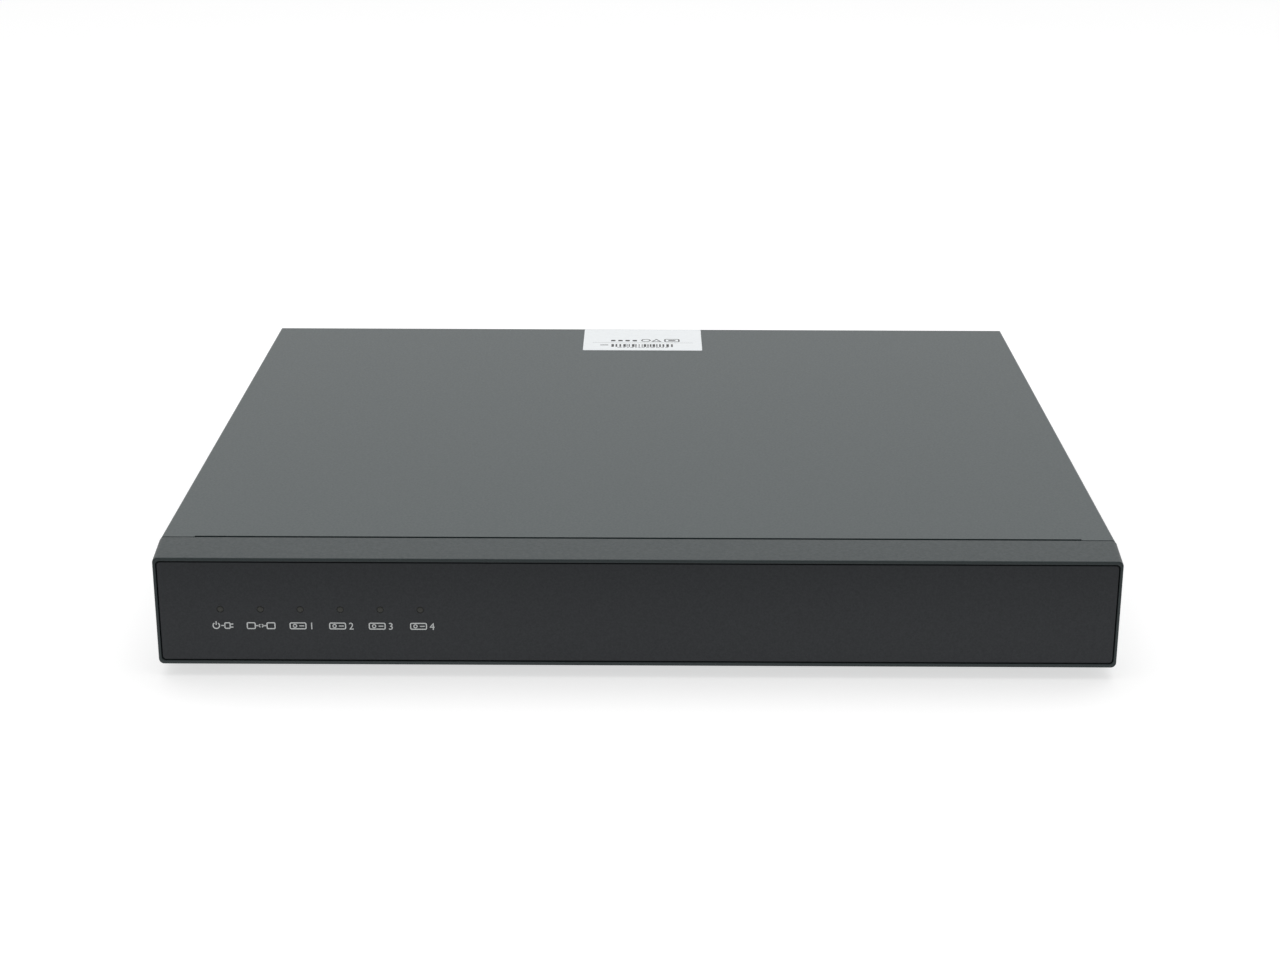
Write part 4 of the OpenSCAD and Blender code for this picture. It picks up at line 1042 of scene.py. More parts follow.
JACK_COLUMNS = -94 - 15.2 * np.arange(8)
JACK_ROWS = (33, 17)
FAN_X, FAN_FACE_Y, FAN_Z = 110, 387.8, 23.5
FAN_BLADES = 7
PANEL_Y = 388.8
BOARD_Z = 8.6
PHONO_X = -76
VIDEO_X, VIDEO_Z = -50, 16.4
ROCKER_X = 147
TERMINAL_X, TERMINAL_PITCH = 66, 3.81


def make_coaxial_jacks():
    """Sixteen coaxial jacks: a turned barrel with a rolled lip and two bayonet lugs, a thin
    washer and a six-sided nut, a white core and a bright contact inside."""
    metal, cores, contacts = Shape(), Shape(), Shape()
    for x in JACK_COLUMNS:
        for z in JACK_ROWS:
            turned(metal, x, 0, z, [(4.05, 388.5), (4.05, 399.2), (4.25, 399.85), (4.45, 400),
                                    (4.68, 399.92),
                                    (4.85, 399.6), (4.85, 398.1), (4.7, 397.9), (4.7, 394.0),
                                    (4.85, 393.8),
                                    (4.85, 391.6), (5.15, 391.3), (5.15, 387.9)], 32, "y")
            turned(metal, x, 0, z, [(5.0, 388.8), (7.4, 388.8), (7.5, 388.9), (7.5, 389.15),
                                    (7.35, 389.25),
                                    (5.0, 389.25)], 32, "y")
            nut(metal, x, 389.2, z, 7, 5.1, 1.8, 1.5)
            for side in (-1, 1):
                lug = lathe_rings(np.array([(1.0, 4.2), (1.0, 5.35), (0.9, 5.55),
                                            (0.7, 5.65)]) * MM, 12)
                metal.rings(turn(lug, "zyx") * [side, 1, 1] + at(x, 396.4, z))
            turned(cores, x, 0, z, [(3.95, 388.45), (3.95, 390.4), (3.8, 390.5), (2.35, 390.5),
                                    (2.35, 398.3),
                                    (2.15, 398.6), (1.15, 398.6), (1.1, 398.45), (1.1, 394)], 24,
                                    "y")
            turned(contacts, x, 0, z, [(1.05, 393.9), (1.05, 398.35), (0.9, 398.5), (0.62, 398.5),
                                       (0.5, 398.35),
                                       (0.5, 394.2)], 16, "y")
    make("coaxial_barrels", metal, "nickel", replaces=("bnc_jacks",))
    make("coaxial_cores", cores, "core_white", replaces=("bnc_cores",))
    make("coaxial_contacts", contacts, "brass")
    housings = Shape()
    for x in JACK_COLUMNS:
        pad(housings, x, 367.8, BOARD_Z, (14.4, 19.9, 32.2), 0.8, 0.4)
        for z in JACK_ROWS:
            plate(housings, x, 367.5, z, (9, 0.6, 9), 1.2, 0.2)
    make("coaxial_housings", housings, "black_plastic",
         replaces=("bnc_housings",))


def make_phono_jacks():
    """Two phono jacks in one housing: a plated barrel over a coloured collar."""
    body, metal = Shape(), Shape()
    pad(body, PHONO_X, 375.8, BOARD_Z, (10.4, 11.9, 25.4), 0.8, 0.4)
    for z, name in ((28, "core_white"), (15, "data_red")):
        collar = Shape()
        turned(collar, PHONO_X, 0, z, [(3.0, 387.7), (4.85, 387.7), (4.9, 387.8), (4.9, 389.7),
                                       (4.6, 389.9), (4.1, 389.9)],
               32, "y")
        turned(collar, PHONO_X, 0, z, [(1.7, 388.4), (1.7, 395.9), (1.8, 396), (3.2, 396),
                                       (3.3, 395.9), (3.3, 388.4)],
               32, "y")
        make(f"phono_collar_{z}", collar, name)
        turned(metal, PHONO_X, 0, z, [(1.3, 389.5), (1.65, 389.5), (3.3, 389.5), (3.3, 396.3),
                                      (3.5, 396.75),
                                  (3.75, 396.8), (4.05, 396.6), (4.1, 396.3), (4.1, 387.8)], 32,
                                  "y")
        turned(metal, PHONO_X, 0, z, [(1.65, 388), (1.65, 395.6), (1.35, 395.6), (1.3, 395.4),
                                      (1.3, 389)], 20, "y")
    make("phono_housing", body, "black_plastic", replaces=("audio_jacks",))
    make("phono_barrels", metal, "nickel")


def make_video_socket():
    """The fifteen-way socket: a flange, a hollow D-shaped shell, an insert with three rows
    of holes, and a nut at each end."""
    metal = Shape()
    pad(metal, VIDEO_X, 373.8, BOARD_Z, (30.6, 13.9, 12.6), 0.6, 0.3)
    plate(metal, VIDEO_X, 388.9, VIDEO_Z, (30.8, 0.8, 12.4), 1.5, 0.2, 5)
    walled(metal, VIDEO_X, VIDEO_Z, oblong(16.9, 8.3, 1.3),
           [(0, 387.6), (0, 394.3), (0.1, 394.55), (0.25, 394.6), (0.42, 394.5), (0.45, 394.3),
            (0.45, 390)], 1.6)
    for x in (VIDEO_X - 12.5, VIDEO_X + 12.5):
        nut(metal, x, 389.6, VIDEO_Z, 2.75, 1.2, 5, 4.2, 36)
    make("video_socket", metal, "nickel", replaces=("analogue_video_port",))
    insert = Shape()
    walled(insert, VIDEO_X, VIDEO_Z, oblong(15.7, 7.1, 1.3), [(0, 389.8), (0, 393.8), (0.2, 394.0)],
           1.3)
    piece = make("video_insert", insert, "lead_blue")
    holes = Shape()
    for row, z in enumerate((2.0, 0.0, -2.0)):
        for k in range(5):
            x = VIDEO_X + (k - 2) * 2.29 + (0.57 if row == 1 else -0.57)
            turned(holes, x, 0, VIDEO_Z + z, [(0.5, 391), (0.5, 393.8), (0.75, 394.1),
                                              (0.75, 394.6)], 12, "y")
    cut(piece, make("holes", holes, "lead_blue"))
    dress(piece, "lead_blue")


def make_data_ports():
    """The small sockets at the rear: thin folded shells open to the rear, each with a
    tongue and a row of contacts inside."""
    shells, tongues, contacts = Shape(), Shape(), Shape()
    out = 389.4
    ports = [(-22, BOARD_Z, (15, 12, 6), (14, 9, 4.6), 11.4, 1.2, 3.0, 9, 1.2),
             (14, BOARD_Z, (13.2, 14, 6.6), (11.8, 8.5, 4.8), 9.6, 1.4, 3.4, 7, 0),
             (-3, BOARD_Z, (14, 17, 7.9), (12.4, 12, 5), 11, 1.8, 3.9, 4, 0),
             (-3, BOARD_Z + 7.9, (14, 17, 7.6), (12.4, 12, 5), 11, 1.8, 3.8, 4, 0)]
    for x, z, size, mouth, tongue_w, tongue_t, tongue_z, count, lean in ports:
        middle_z = z + size[2] / 2
        wide, tall = (size[0] - mouth[0]) / 2, (size[2] - mouth[2]) / 2
        outer = oblong(size[0], size[2])
        inner = oblong(mouth[0], mouth[2], lean)
        rings = [soft_ring(outer, 0.7), soft_ring(outer, 0.7),
                 soft_ring(outer * [1 - 0.2 / size[0], 1 - 0.2 / size[2]], 0.6),
                 soft_ring(inner * [1 + wide * 0.25 / mouth[0], 1 + tall * 0.25 / mouth[2]], 0.6),
                 soft_ring(inner, 0.5), soft_ring(inner, 0.5)]
        y = np.array([out - size[1], out - 0.12, out, out, out - 0.12, out - mouth[1]])[:, None]
        flat = np.stack(rings)
        shells.rings(at(x + flat[..., 0], y, middle_z + flat[..., 1]))
        pad(tongues, x, out - mouth[1] - 0.2, z + tongue_z, (tongue_w, mouth[1] - 0.9, tongue_t),
            0.3, 0.2)
        pad(tongues, x, out - mouth[1] - 0.1, z + (size[2] - mouth[2]) / 2 + 0.05,
            (mouth[0] - 0.1 - 2 * lean, 1.2, mouth[2] - 0.1), 0.3, 0.1)
        spread = tongue_w - 2.2
        strip = box_points((spread / count * 0.5 * MM, (mouth[1] - 3) * MM, 0.12 * MM))
        places = at(x + np.linspace(-spread / 2, spread / 2, count), out - mouth[1] / 2 - 0.4,
                    z + tongue_z - 0.08)
        contacts.copies(strip, box_faces(), places)
    x, z = 33, BOARD_Z
    outer = oblong(16, 13.4)
    notch = [[5.9, 4.3], [-5.9, 4.3], [-5.9, -3.3], [-3, -3.3], [-3, -5.1], [3, -5.1], [3, -3.3],
             [5.9, -3.3]]
    notch = np.array(notch)
    walls = [soft_ring(notch, 0.25, 3), soft_ring(notch, 0.25, 3)]
    frame_ring = ray_outline(walls[0], 8.0, 6.7)
    flat = np.stack([frame_ring, frame_ring, frame_ring * 0.985, walls[0] * 1.02, walls[0],
                     walls[1]])
    y = np.array([out - 21, out - 0.15, out, out, out - 0.15, out - 13])[:, None]
    shells.rings(at(x + flat[..., 0], y, z + 6.7 + flat[..., 1]))
    wire = Shape()
    for k in range(8):
        path = at(x + (k - 3.5) * 1.02, np.array([out - 12.8, out - 9, out - 4.5]),
                  z + np.array([4.2, 5.0, 8.2]))
        wire.rings(carried(path, round_section(0.2 * MM, 6), (1, 0, 0), 4))
    for k in (-1, 1):
        pad(tongues, x + k * 5.6, out - 1.0, z + 11.4, (2.6, 1.1, 1.4), 0.2, 0.1)
    make("port_shells", shells, "nickel",
         replaces=("digital_video_port", "external_drive_port", "peripheral_ports", "network_port"))
    make("port_tongues", tongues, "black_plastic")
    make("port_contacts", contacts, "brass")
    make("network_contacts", wire, "brass")


def ray_outline(ring, half_w, half_h):
    """Points on a rectangle's outline on the same rays from its middle as a ring's points:
    each is the ring's point over the larger of its shares of the half width and height."""
    share = np.maximum(np.abs(ring[:, 0]) / half_w, np.abs(ring[:, 1]) / half_h)
    return ring / share[:, None]


def make_fan():
    """The fan's frame and its rotor. Each of seven blades is a thin wing section carried
    outwards: its angle grows with the radius, its chord leans across the duct, and the
    section's thickness follows the square root of a parabola along the chord."""
    softened("system_fan_frame", "black_plastic", 0.3 * MM)
    hub, blades = Shape(), Shape()
    profile = [(1.2, 1.8), (1.2, 16.8), (8.15, 16.8), (8.15, 1.75), (8.4, 1.7), (9.2, 1.7),
               (9.35, 1.9), (9.4, 2.2), (9.4, 17.0),
               (9.2, 17.5), (8.8, 17.9), (8.2, 18.1), (3, 18.1)]
    rings = lathe_rings(np.array(profile), 64)
    hub.rings(fan_place(rings))
    u = np.linspace(0, 1, 9)[:, None]
    loop = np.arange(28) * math.tau / 28
    v = (1 - np.cos(loop))[None] / 2
    side = np.sign(np.sin(loop))[None]
    thick = side * (0.12 + 0.45 * np.sqrt(np.maximum(4 * v * (1 - v), 0)))
    radius = 9.2 + 8.9 * u
    for k in range(FAN_BLADES):
        lean = math.radians(38) + 0.22 * u
        chord = 15.2 + 2.0 * u
        along = (v - 0.5) * chord
        across = along * np.cos(lean) + thick * np.sin(lean) + 1.1 * 4 * v * (1 - v) * np.sin(lean)
        depth = (10.4 + along * np.sin(lean)
                 - (thick + 1.1 * 4 * v * (1 - v)) * np.cos(lean))
        depth = np.clip(depth, 2.4, 17.8)
        angle = k * math.tau / FAN_BLADES + 0.30 * u + across / (radius + 3)
        blades.rings(fan_place(np.stack([radius * np.cos(angle), radius * np.sin(angle), depth],
                                        -1)))
    make("fan_blades", blades, "black_plastic", "fan", replaces=("system_fan_rotor",))
    make("fan_hub", hub, "black_plastic", "fan")


def fan_place(points):
    """Points in the fan's own frame, in millimetres along its axis, put behind the rear
    panel: the fan's axis points forwards."""
    return at(FAN_X + points[..., 0], FAN_FACE_Y - points[..., 2], FAN_Z + points[..., 1])


def make_rocker_marks(s):
    """The signs for on and off on the rocker's two faces. The faces meet in a shallow V, so
    the ink's depth grows with its distance from the middle; the whole then tilts with the
    rocker about its axle."""
    drawn = Print(s.ink)
    drawn.ring(0, 5.0, 1.4, 0.5)
    drawn.band([[0, -6.4], [0, -3.6]], 0.5)
    points = np.concatenate(drawn.shape.points) * MM
    x = -points[:, 0]
    y = 4.2 * MM + np.abs(points[:, 2]) * 2.4 / 9 + points[:, 1]
    tilt = math.radians(-10)
    turned_y = y * math.cos(tilt) - points[:, 2] * math.sin(tilt)
    turned_z = y * math.sin(tilt) + points[:, 2] * math.cos(tilt)
    shape = Shape().add(np.stack([x, turned_y, turned_z], -1) + at(ROCKER_X, PANEL_Y - 3, 20),
                        drawn.shape.faces)
    make("rocker_marks", shape, "white_print", "rocker")


def make_rear_marks(s):
    """Numbers by the coaxial jacks and the alarm terminal, and plain signs by the other
    sockets: a screen, a loudspeaker, three joined boxes, a plug and an earth sign."""
    drawn = Print(s.ink)
    w = 0.35
    for i, x in enumerate(JACK_COLUMNS):
        drawn.digits(str(i + 1), -x, 41.7, 1.9)
        drawn.digits(str(i + 9), -x, 7.3, 1.9)
    for i in range(8):
        drawn.digits(str(i + 1), -(TERMINAL_X - (3.5 - i) * TERMINAL_PITCH), 22.6, 1.6)
    for x, z, wide in ((-50, 27.4, 4.6), (-22, 18.6, 3.6)):
        drawn.frame(-x, z, wide, wide * 0.66, 0.3, w)
        drawn.bar(-x, z - wide * 0.33 - 0.7, wide * 0.5, w)
    for x in (31.2, 33, 34.8):
        drawn.frame(-x, 25.0, 1.2, 1.1, 0.15, w * 0.8)
    drawn.bar(-33, 26.6, 3.9, w)
    drawn.frame(-33, 28.0, 1.5, 1.3, 0.15, w * 0.8)
    drawn.band([[75.2, 34.9], [76.4, 34.9], [77.6, 36.1], [77.6, 32.7], [76.4, 33.9], [75.2, 33.9]],
               w, True)
    drawn.ring(78.0, 34.4, 1.3, w, -50, 100, 12)
    drawn.frame(3, 27.6, 4.2, 2.0, 0.2, w)
    for side in (-1, 1):
        drawn.bar(3 + side * 0.85, 27.6, 0.6, 0.6)
    drawn.frame(3, 29.9, 2.8, 2.0, 0.3, w)
    for k, wide in enumerate((3.4, 2.3, 1.2)):
        drawn.bar(-134.5, 5.0 - 0.8 * k, wide, w)
    drawn.bar(-134.5, 5.9, w, 1.6)
    make("rear_marks", drawn.placed(at(0, PANEL_Y, 0), "-xyz"), "white_print")


# ------------------------------------------------------------------ drives

DRIVE_X = (np.arange(DRIVE_COUNT) - 1.5) * 105
DRIVE_Y, DRIVE_Z = 40.0, 4.0
DRIVE_BACK_Y = DRIVE_Y + 147
DRIVE_PLUG_Z = DRIVE_Z + 4.5
HEADER_X = (-130, -95, 5, 40)


def make_drives(s):
    """Lids, labels and lid screws of the four drives. A lid is a soft-edged plate with a
    low round pan over the disks and one over the arms, each turned from a profile whose
    shoulder is a quarter circle."""
    lids, screws, labels = Shape(), Shape(), Shape()
    drawn = Print(s.ink)
    top = DRIVE_Z + 26.1
    for x in DRIVE_X:
        pad(lids, x, DRIVE_Y + 2.5, DRIVE_Z + 24.1, (96.6, 142, 1), 5, 0.35, 6)
        shoulder = np.linspace(0, math.pi / 2, 6)
        pan = [(43, 28.9)] + [(42 + math.cos(a), 29.1 + math.sin(a) - 0.05) for a in shoulder]
        turned(lids, x, DRIVE_Y + 52, 0, pan + [(31, top), (30.5, top - 0.12), (29.5, top - 0.12),
                                                (29, top)], 96)
        turned(lids, x - 30, DRIVE_Y + 112, 0, [(12, 28.9), (12, 29.5), (11.8, 29.8), (11.4, 30.0),
                                                (3, 30.0)], 48)
        for dx in (-44.5, 44.5):
            for dy in (8, 72, 138):
                turned(screws, x + dx, DRIVE_Y + dy, DRIVE_Z + 25.05,
                       [(2.3, 0), (2.3, 0.5), (2.0, 0.75), (1.15, 0.75), (0.95, 0.6), (0.95, 0.15)],
                       18)
        turned(screws, x - 30, DRIVE_Y + 106, DRIVE_Z + 25.9,
               [(2.6, 0), (2.6, 0.25), (2.3, 0.4), (1.3, 0.4), (1.1, 0.3), (1.1, 0.1)], 18)
        pad(labels, x, DRIVE_Y + 27, top, (50, 50, 0.1), 1.5, 0.03, 4)
        cx, cy = x, DRIVE_Y + 52
        drawn.bar(cx - 9, cy + 20, 24, 3.2)
        drawn.bar(cx, cy + 15.5, 44, 0.35)
        for k, wide in enumerate((30, 24, 34, 18)):
            drawn.bar(cx + (-21 + wide / 2), cy + (11.5 - 2.6 * k), wide, 0.8)
        drawn.frame(cx + 14, cy - 12, 14, 14, 1, 0.5)
        drawn.ring(cx + 14, cy - 12, 4.4, 0.5)
        for k, wide in enumerate((0.9, 0.5, 1.3, 0.5, 0.5, 0.9, 1.6, 0.5, 0.9, 0.5, 1.3)):
            drawn.bar(cx + (-20 + 2.0 * k), cy - 12, wide, 9)
        drawn.bar(cx - 10, cy - 19.5, 20, 0.8)
    make("drive_lid_set", lids, "lid_steel", replaces=("drive_lids",))
    make("drive_lid_screws", screws, "screw_black")
    make("drive_labels", labels, "label_paper")
    make("drive_label_print", drawn.placed(at(0, 0, top + 0.1), "xzy"), "black_print")
    softened("drive_castings", "cast_aluminium", 0.4 * MM)
    softened("drive_sockets", "black_plastic", 0.2 * MM)
    softened("drive_screws", "nickel", 0.2 * MM)
    for i in range(1, DRIVE_COUNT + 1):
        softened(f"head_arms_{i}", "cast_aluminium", 0.15 * MM, f"heads_{i}")


# ------------------------------------------------------------------ main board

# Chips: middle across, front edge, width, depth, height, and leads along each side.
CHIPS = [(-100, 296, 9, 13, 1.1, 0), (-20, 296, 9, 13, 1.1, 0), (-100, 313, 9, 13, 1.1, 0),
         (-20, 313, 9, 13, 1.1, 0), (-196, 336, 14, 14, 1.4, 20), (-170, 336, 14, 14, 1.4, 20),
         (-144, 336, 14, 14, 1.4, 20), (-118, 336, 14, 14, 1.4, 20), (31, 346, 9, 9, 1.0, 14),
         (-24, 346, 7, 7, 1.0, 10), (62, 318, 10, 13, 1.6, 12), (-150, 286, 16, 16, 1.4, 24)]
# Small capacitors: middle across and along, radius and height.
CANS = ([(-190 + k * 17, 264, 3.2, 7.7) for k in range(5)] + [(-14 + k * 15, 268, 3.2,
                                                               7.7) for k in range(4)]
        + [(70, 262 + k * 13, 5, 12.5) for k in range(3)] + [(-200 + k * 26, 322, 2.5,
                                                              5.4) for k in range(4)])


def make_chips():
    """Chip packages with soft edges and a dot by the first lead, and their bent leads: a
    flat strip carried out of the package, down and out again along the board."""
    bodies, leads, dots = Shape(), Shape(), Shape()
    pad(bodies, -60, 290.5, BOARD_Z, (27, 27, 2), 0.6, 0.2)
    strip = np.array([[-0.11, -0.06], [0.11, -0.06], [0.11, 0.06], [-0.11, 0.06]]) * MM
    faces = np.concatenate([grid_quads(10, 4), [[0, 1, 2, 3], [39, 38, 37, 36]]])
    for x, y, w, d, h, count in CHIPS:
        lift = 0.1 if count else 0.0
        pad(bodies, x, y, BOARD_Z + lift, (w, d, h - lift), 0.3, 0.12)
        turned(dots, x - w / 2 + 1.1, y + 1.1, BOARD_Z + h - 0.01, [(0.42, 0), (0.42, 0.03)], 14)
        if not count:
            continue
        for side in range(4):
            across, deep = (w, d) if side % 2 == 0 else (d, w)
            out = np.array([0, 0.35, 0.6, 0.95]) + deep / 2
            up = np.array([h * 0.5, h * 0.5, 0.08, 0.06])
            path = np.stack([np.zeros(4), out, up], -1)
            rings = carried(path * MM, strip, (1, 0, 0), 3)
            angle = side * math.pi / 2
            c, n = math.cos(angle), math.sin(angle)
            spin = np.array([[c, -n, 0], [n, c, 0], [0, 0, 1]])
            step = np.linspace(-0.42, 0.42, count) * across * MM
            places = np.stack([step, step * 0, step * 0], -1) @ spin.T
            places = places + at(x, y + d / 2, BOARD_Z)
            leads.copies(rings.reshape(-1, 3) @ spin.T, faces, places)
    make("chip_packages", bodies, "chip_black", replaces=("board_chips",))
    make("chip_leads", leads, "tin")
    make("chip_dots", dots, "ribbon_grey")


def make_cans():
    """Capacitors on the main board: an aluminium can with a rolled top and a waist, on a
    square base, with a dark flat on top."""
    cans, bases, tops = Shape(), Shape(), Shape()
    for x, y, r, h in CANS:
        pad(bases, x, y - r, BOARD_Z, (2 * r, 2 * r, 0.9), 0.8, 0.15)
        turned(cans, x, y, BOARD_Z, [(r * 0.8, 0.7), (r * 0.97, 0.9), (r * 0.97, 1.5),
                                     (r * 0.9, 1.9), (r * 0.97, 2.3),
                                     (r * 0.97, h - 0.7), (r * 0.9, h - 0.2), (r * 0.78, h)], 28)
        half = np.linspace(-0.9, math.pi - 0.9, 16)
        points = np.stack([np.cos(half), np.sin(half)], -1) * r * 0.74
        flat = np.concatenate([points, points])
        depth = np.repeat([h - 0.01, h + 0.02], 16)
        ring = np.arange(16)
        sides = np.stack([ring, (ring + 1) % 16, (ring + 1) % 16 + 16, ring + 16], -1).tolist()
        tops.add(at(x + flat[:, 0], y + flat[:, 1], BOARD_Z + depth),
                 sides + [list(range(16)), list(range(16, 32))])
    make("can_set", cans, "can_aluminium", replaces=("board_capacitors",))
    make("can_bases", bases, "black_plastic")
    make("can_marks", tops, "black_print")


def make_small_parts():
    """Resistors and small capacitors in short rows all over the main board, left out where
    a larger piece stands. Each has a body and a tinned cap at either end."""
    random = np.random.default_rng(11)
    gx, gy = np.meshgrid(np.arange(-205, 80, 12.5), np.arange(238, 362, 9.5))
    cells = np.stack([gx.ravel(), gy.ravel()], -1)
    cells = cells[random.random(len(cells)) < 0.62] + random.uniform(-1, 1, (1, 2))
    keep_out = ([(x - w / 2 - 2.4, y - 2.4, x + w / 2 + 2.4, y + d + 2.4) for x, y, w, d,
                 *_ in CHIPS]
                + [(x - r - 1.6, y - r - 1.6, x + r + 1.6, y + r + 1.6) for x, y, r, _ in CANS]
                + [(x - 9.5, 238, x + 9.5, 250) for x in HEADER_X]
                + [(-87, 277, -33, 331), (54, 233, 84, 248), (-210, 237, -195, 249),
                   (77, 298, 86, 310),
                   (19, 288, 49, 312), (-84, 372, 86, 390), (-212, 366, -84, 390)]
                + [(x - 5, y - 5, x + 5, y + 5) for x, y in
                   ((-180, 238), (-40, 238), (80, 238), (-204, 358), (-60, 358), (80, 358))]
                + [(x - 4.6, y - 4.6, x + 4.6, y + 4.6) for x, y in INDUCTORS]
                + [(x - 7, y - 3.6, x + 7, y + 3.6) for x, y in CRYSTALS])
    keep_out = np.array(keep_out)
    parts = []
    for x, y in cells:
        upright = random.random() < 0.5
        n = random.integers(2, 7)
        offset = (np.arange(n) - (n - 1) / 2) * 1.6
        for line in range(random.integers(1, 3)):
            side = (line - 0.5) * 3.0
            across = np.stack([x + (offset if upright else offset * 0 + side),
                               y + (offset * 0 + side if upright else offset)], -1)
            parts.append(np.column_stack([across, np.full(n, upright), random.random(n) < 0.55]))
    parts = np.concatenate(parts)
    blocked = ((parts[:, None, 0] > keep_out[:, 0]) & (parts[:, None, 0] < keep_out[:, 2])
               & (parts[:, None, 1] > keep_out[:, 1]) & (parts[:, None, 1] < keep_out[:, 3])).any(1)
    inside = (np.abs(parts[:, 0] + 62.5) < 145) & (parts[:, 1] > 235) & (parts[:, 1] < 384)
    parts = parts[~blocked & inside]
    tips = Shape()
    bodies = {"resistor": Shape(), "ceramic": Shape()}
    for upright in (0, 1):
        long, wide = (1.9, 0.95)
        size = (wide, long) if upright else (long, wide)
        group = parts[parts[:, 2] == upright]
        shift = np.array([0, 0.75, 0]) if upright else np.array([0.75, 0, 0])
        tip = (wide, 0.42) if upright else (0.42, wide)
        for kind, name in ((0, "resistor"), (1, "ceramic")):
            chosen = group[group[:, 3] == kind]
            height = 0.45 if kind == 0 else 0.85
            places = at(chosen[:, 0], chosen[:, 1], BOARD_Z)
            core = np.array([*(np.array(size) * ((0.96, 0.78) if upright else (0.78, 0.96))),
                             height * 0.94])
            bodies[name].copies(box_points(core * MM), box_faces(), places)
            for side in (-1, 1):
                tips.copies(box_points(np.array([*tip, height]) * MM), box_faces(),
                            places + side * shift * MM)
    for name, shape in bodies.items():
        make(f"{name}_row", shape, name, merge=False)
    make("part_caps", tips, "tin", merge=False)


INDUCTORS = ((-165, 252), (-60, 262), (58, 290), (-30, 284))
CRYSTALS = ((-126, 300), (10, 330), (-85, 345))


def make_coils_and_crystals():
    """Shielded inductors, square with a round core on top, and oval crystal cans."""
    coils, cores, crystals = Shape(), Shape(), Shape()
    for x, y in INDUCTORS:
        pad(coils, x, y - 3.6, BOARD_Z, (7.2, 7.2, 3.6), 1.2, 0.4)
        turned(cores, x, y, BOARD_Z, [(2.6, 3.5), (2.6, 3.75), (2.4, 3.9)], 24)
    for x, y in CRYSTALS:
        pad(crystals, x, y - 2.3, BOARD_Z, (11, 4.6, 0.5), 2.2, 0.1, 6)
        pad(crystals, x, y - 1.9, BOARD_Z + 0.4, (10, 3.8, 3.1), 1.8, 0.5, 6)
    make("inductors", coils, "ferrite")
    make("inductor_cores", cores, "chip_black")
    make("crystals", crystals, "nickel")


# ------------------------------------------------------------------ power supply


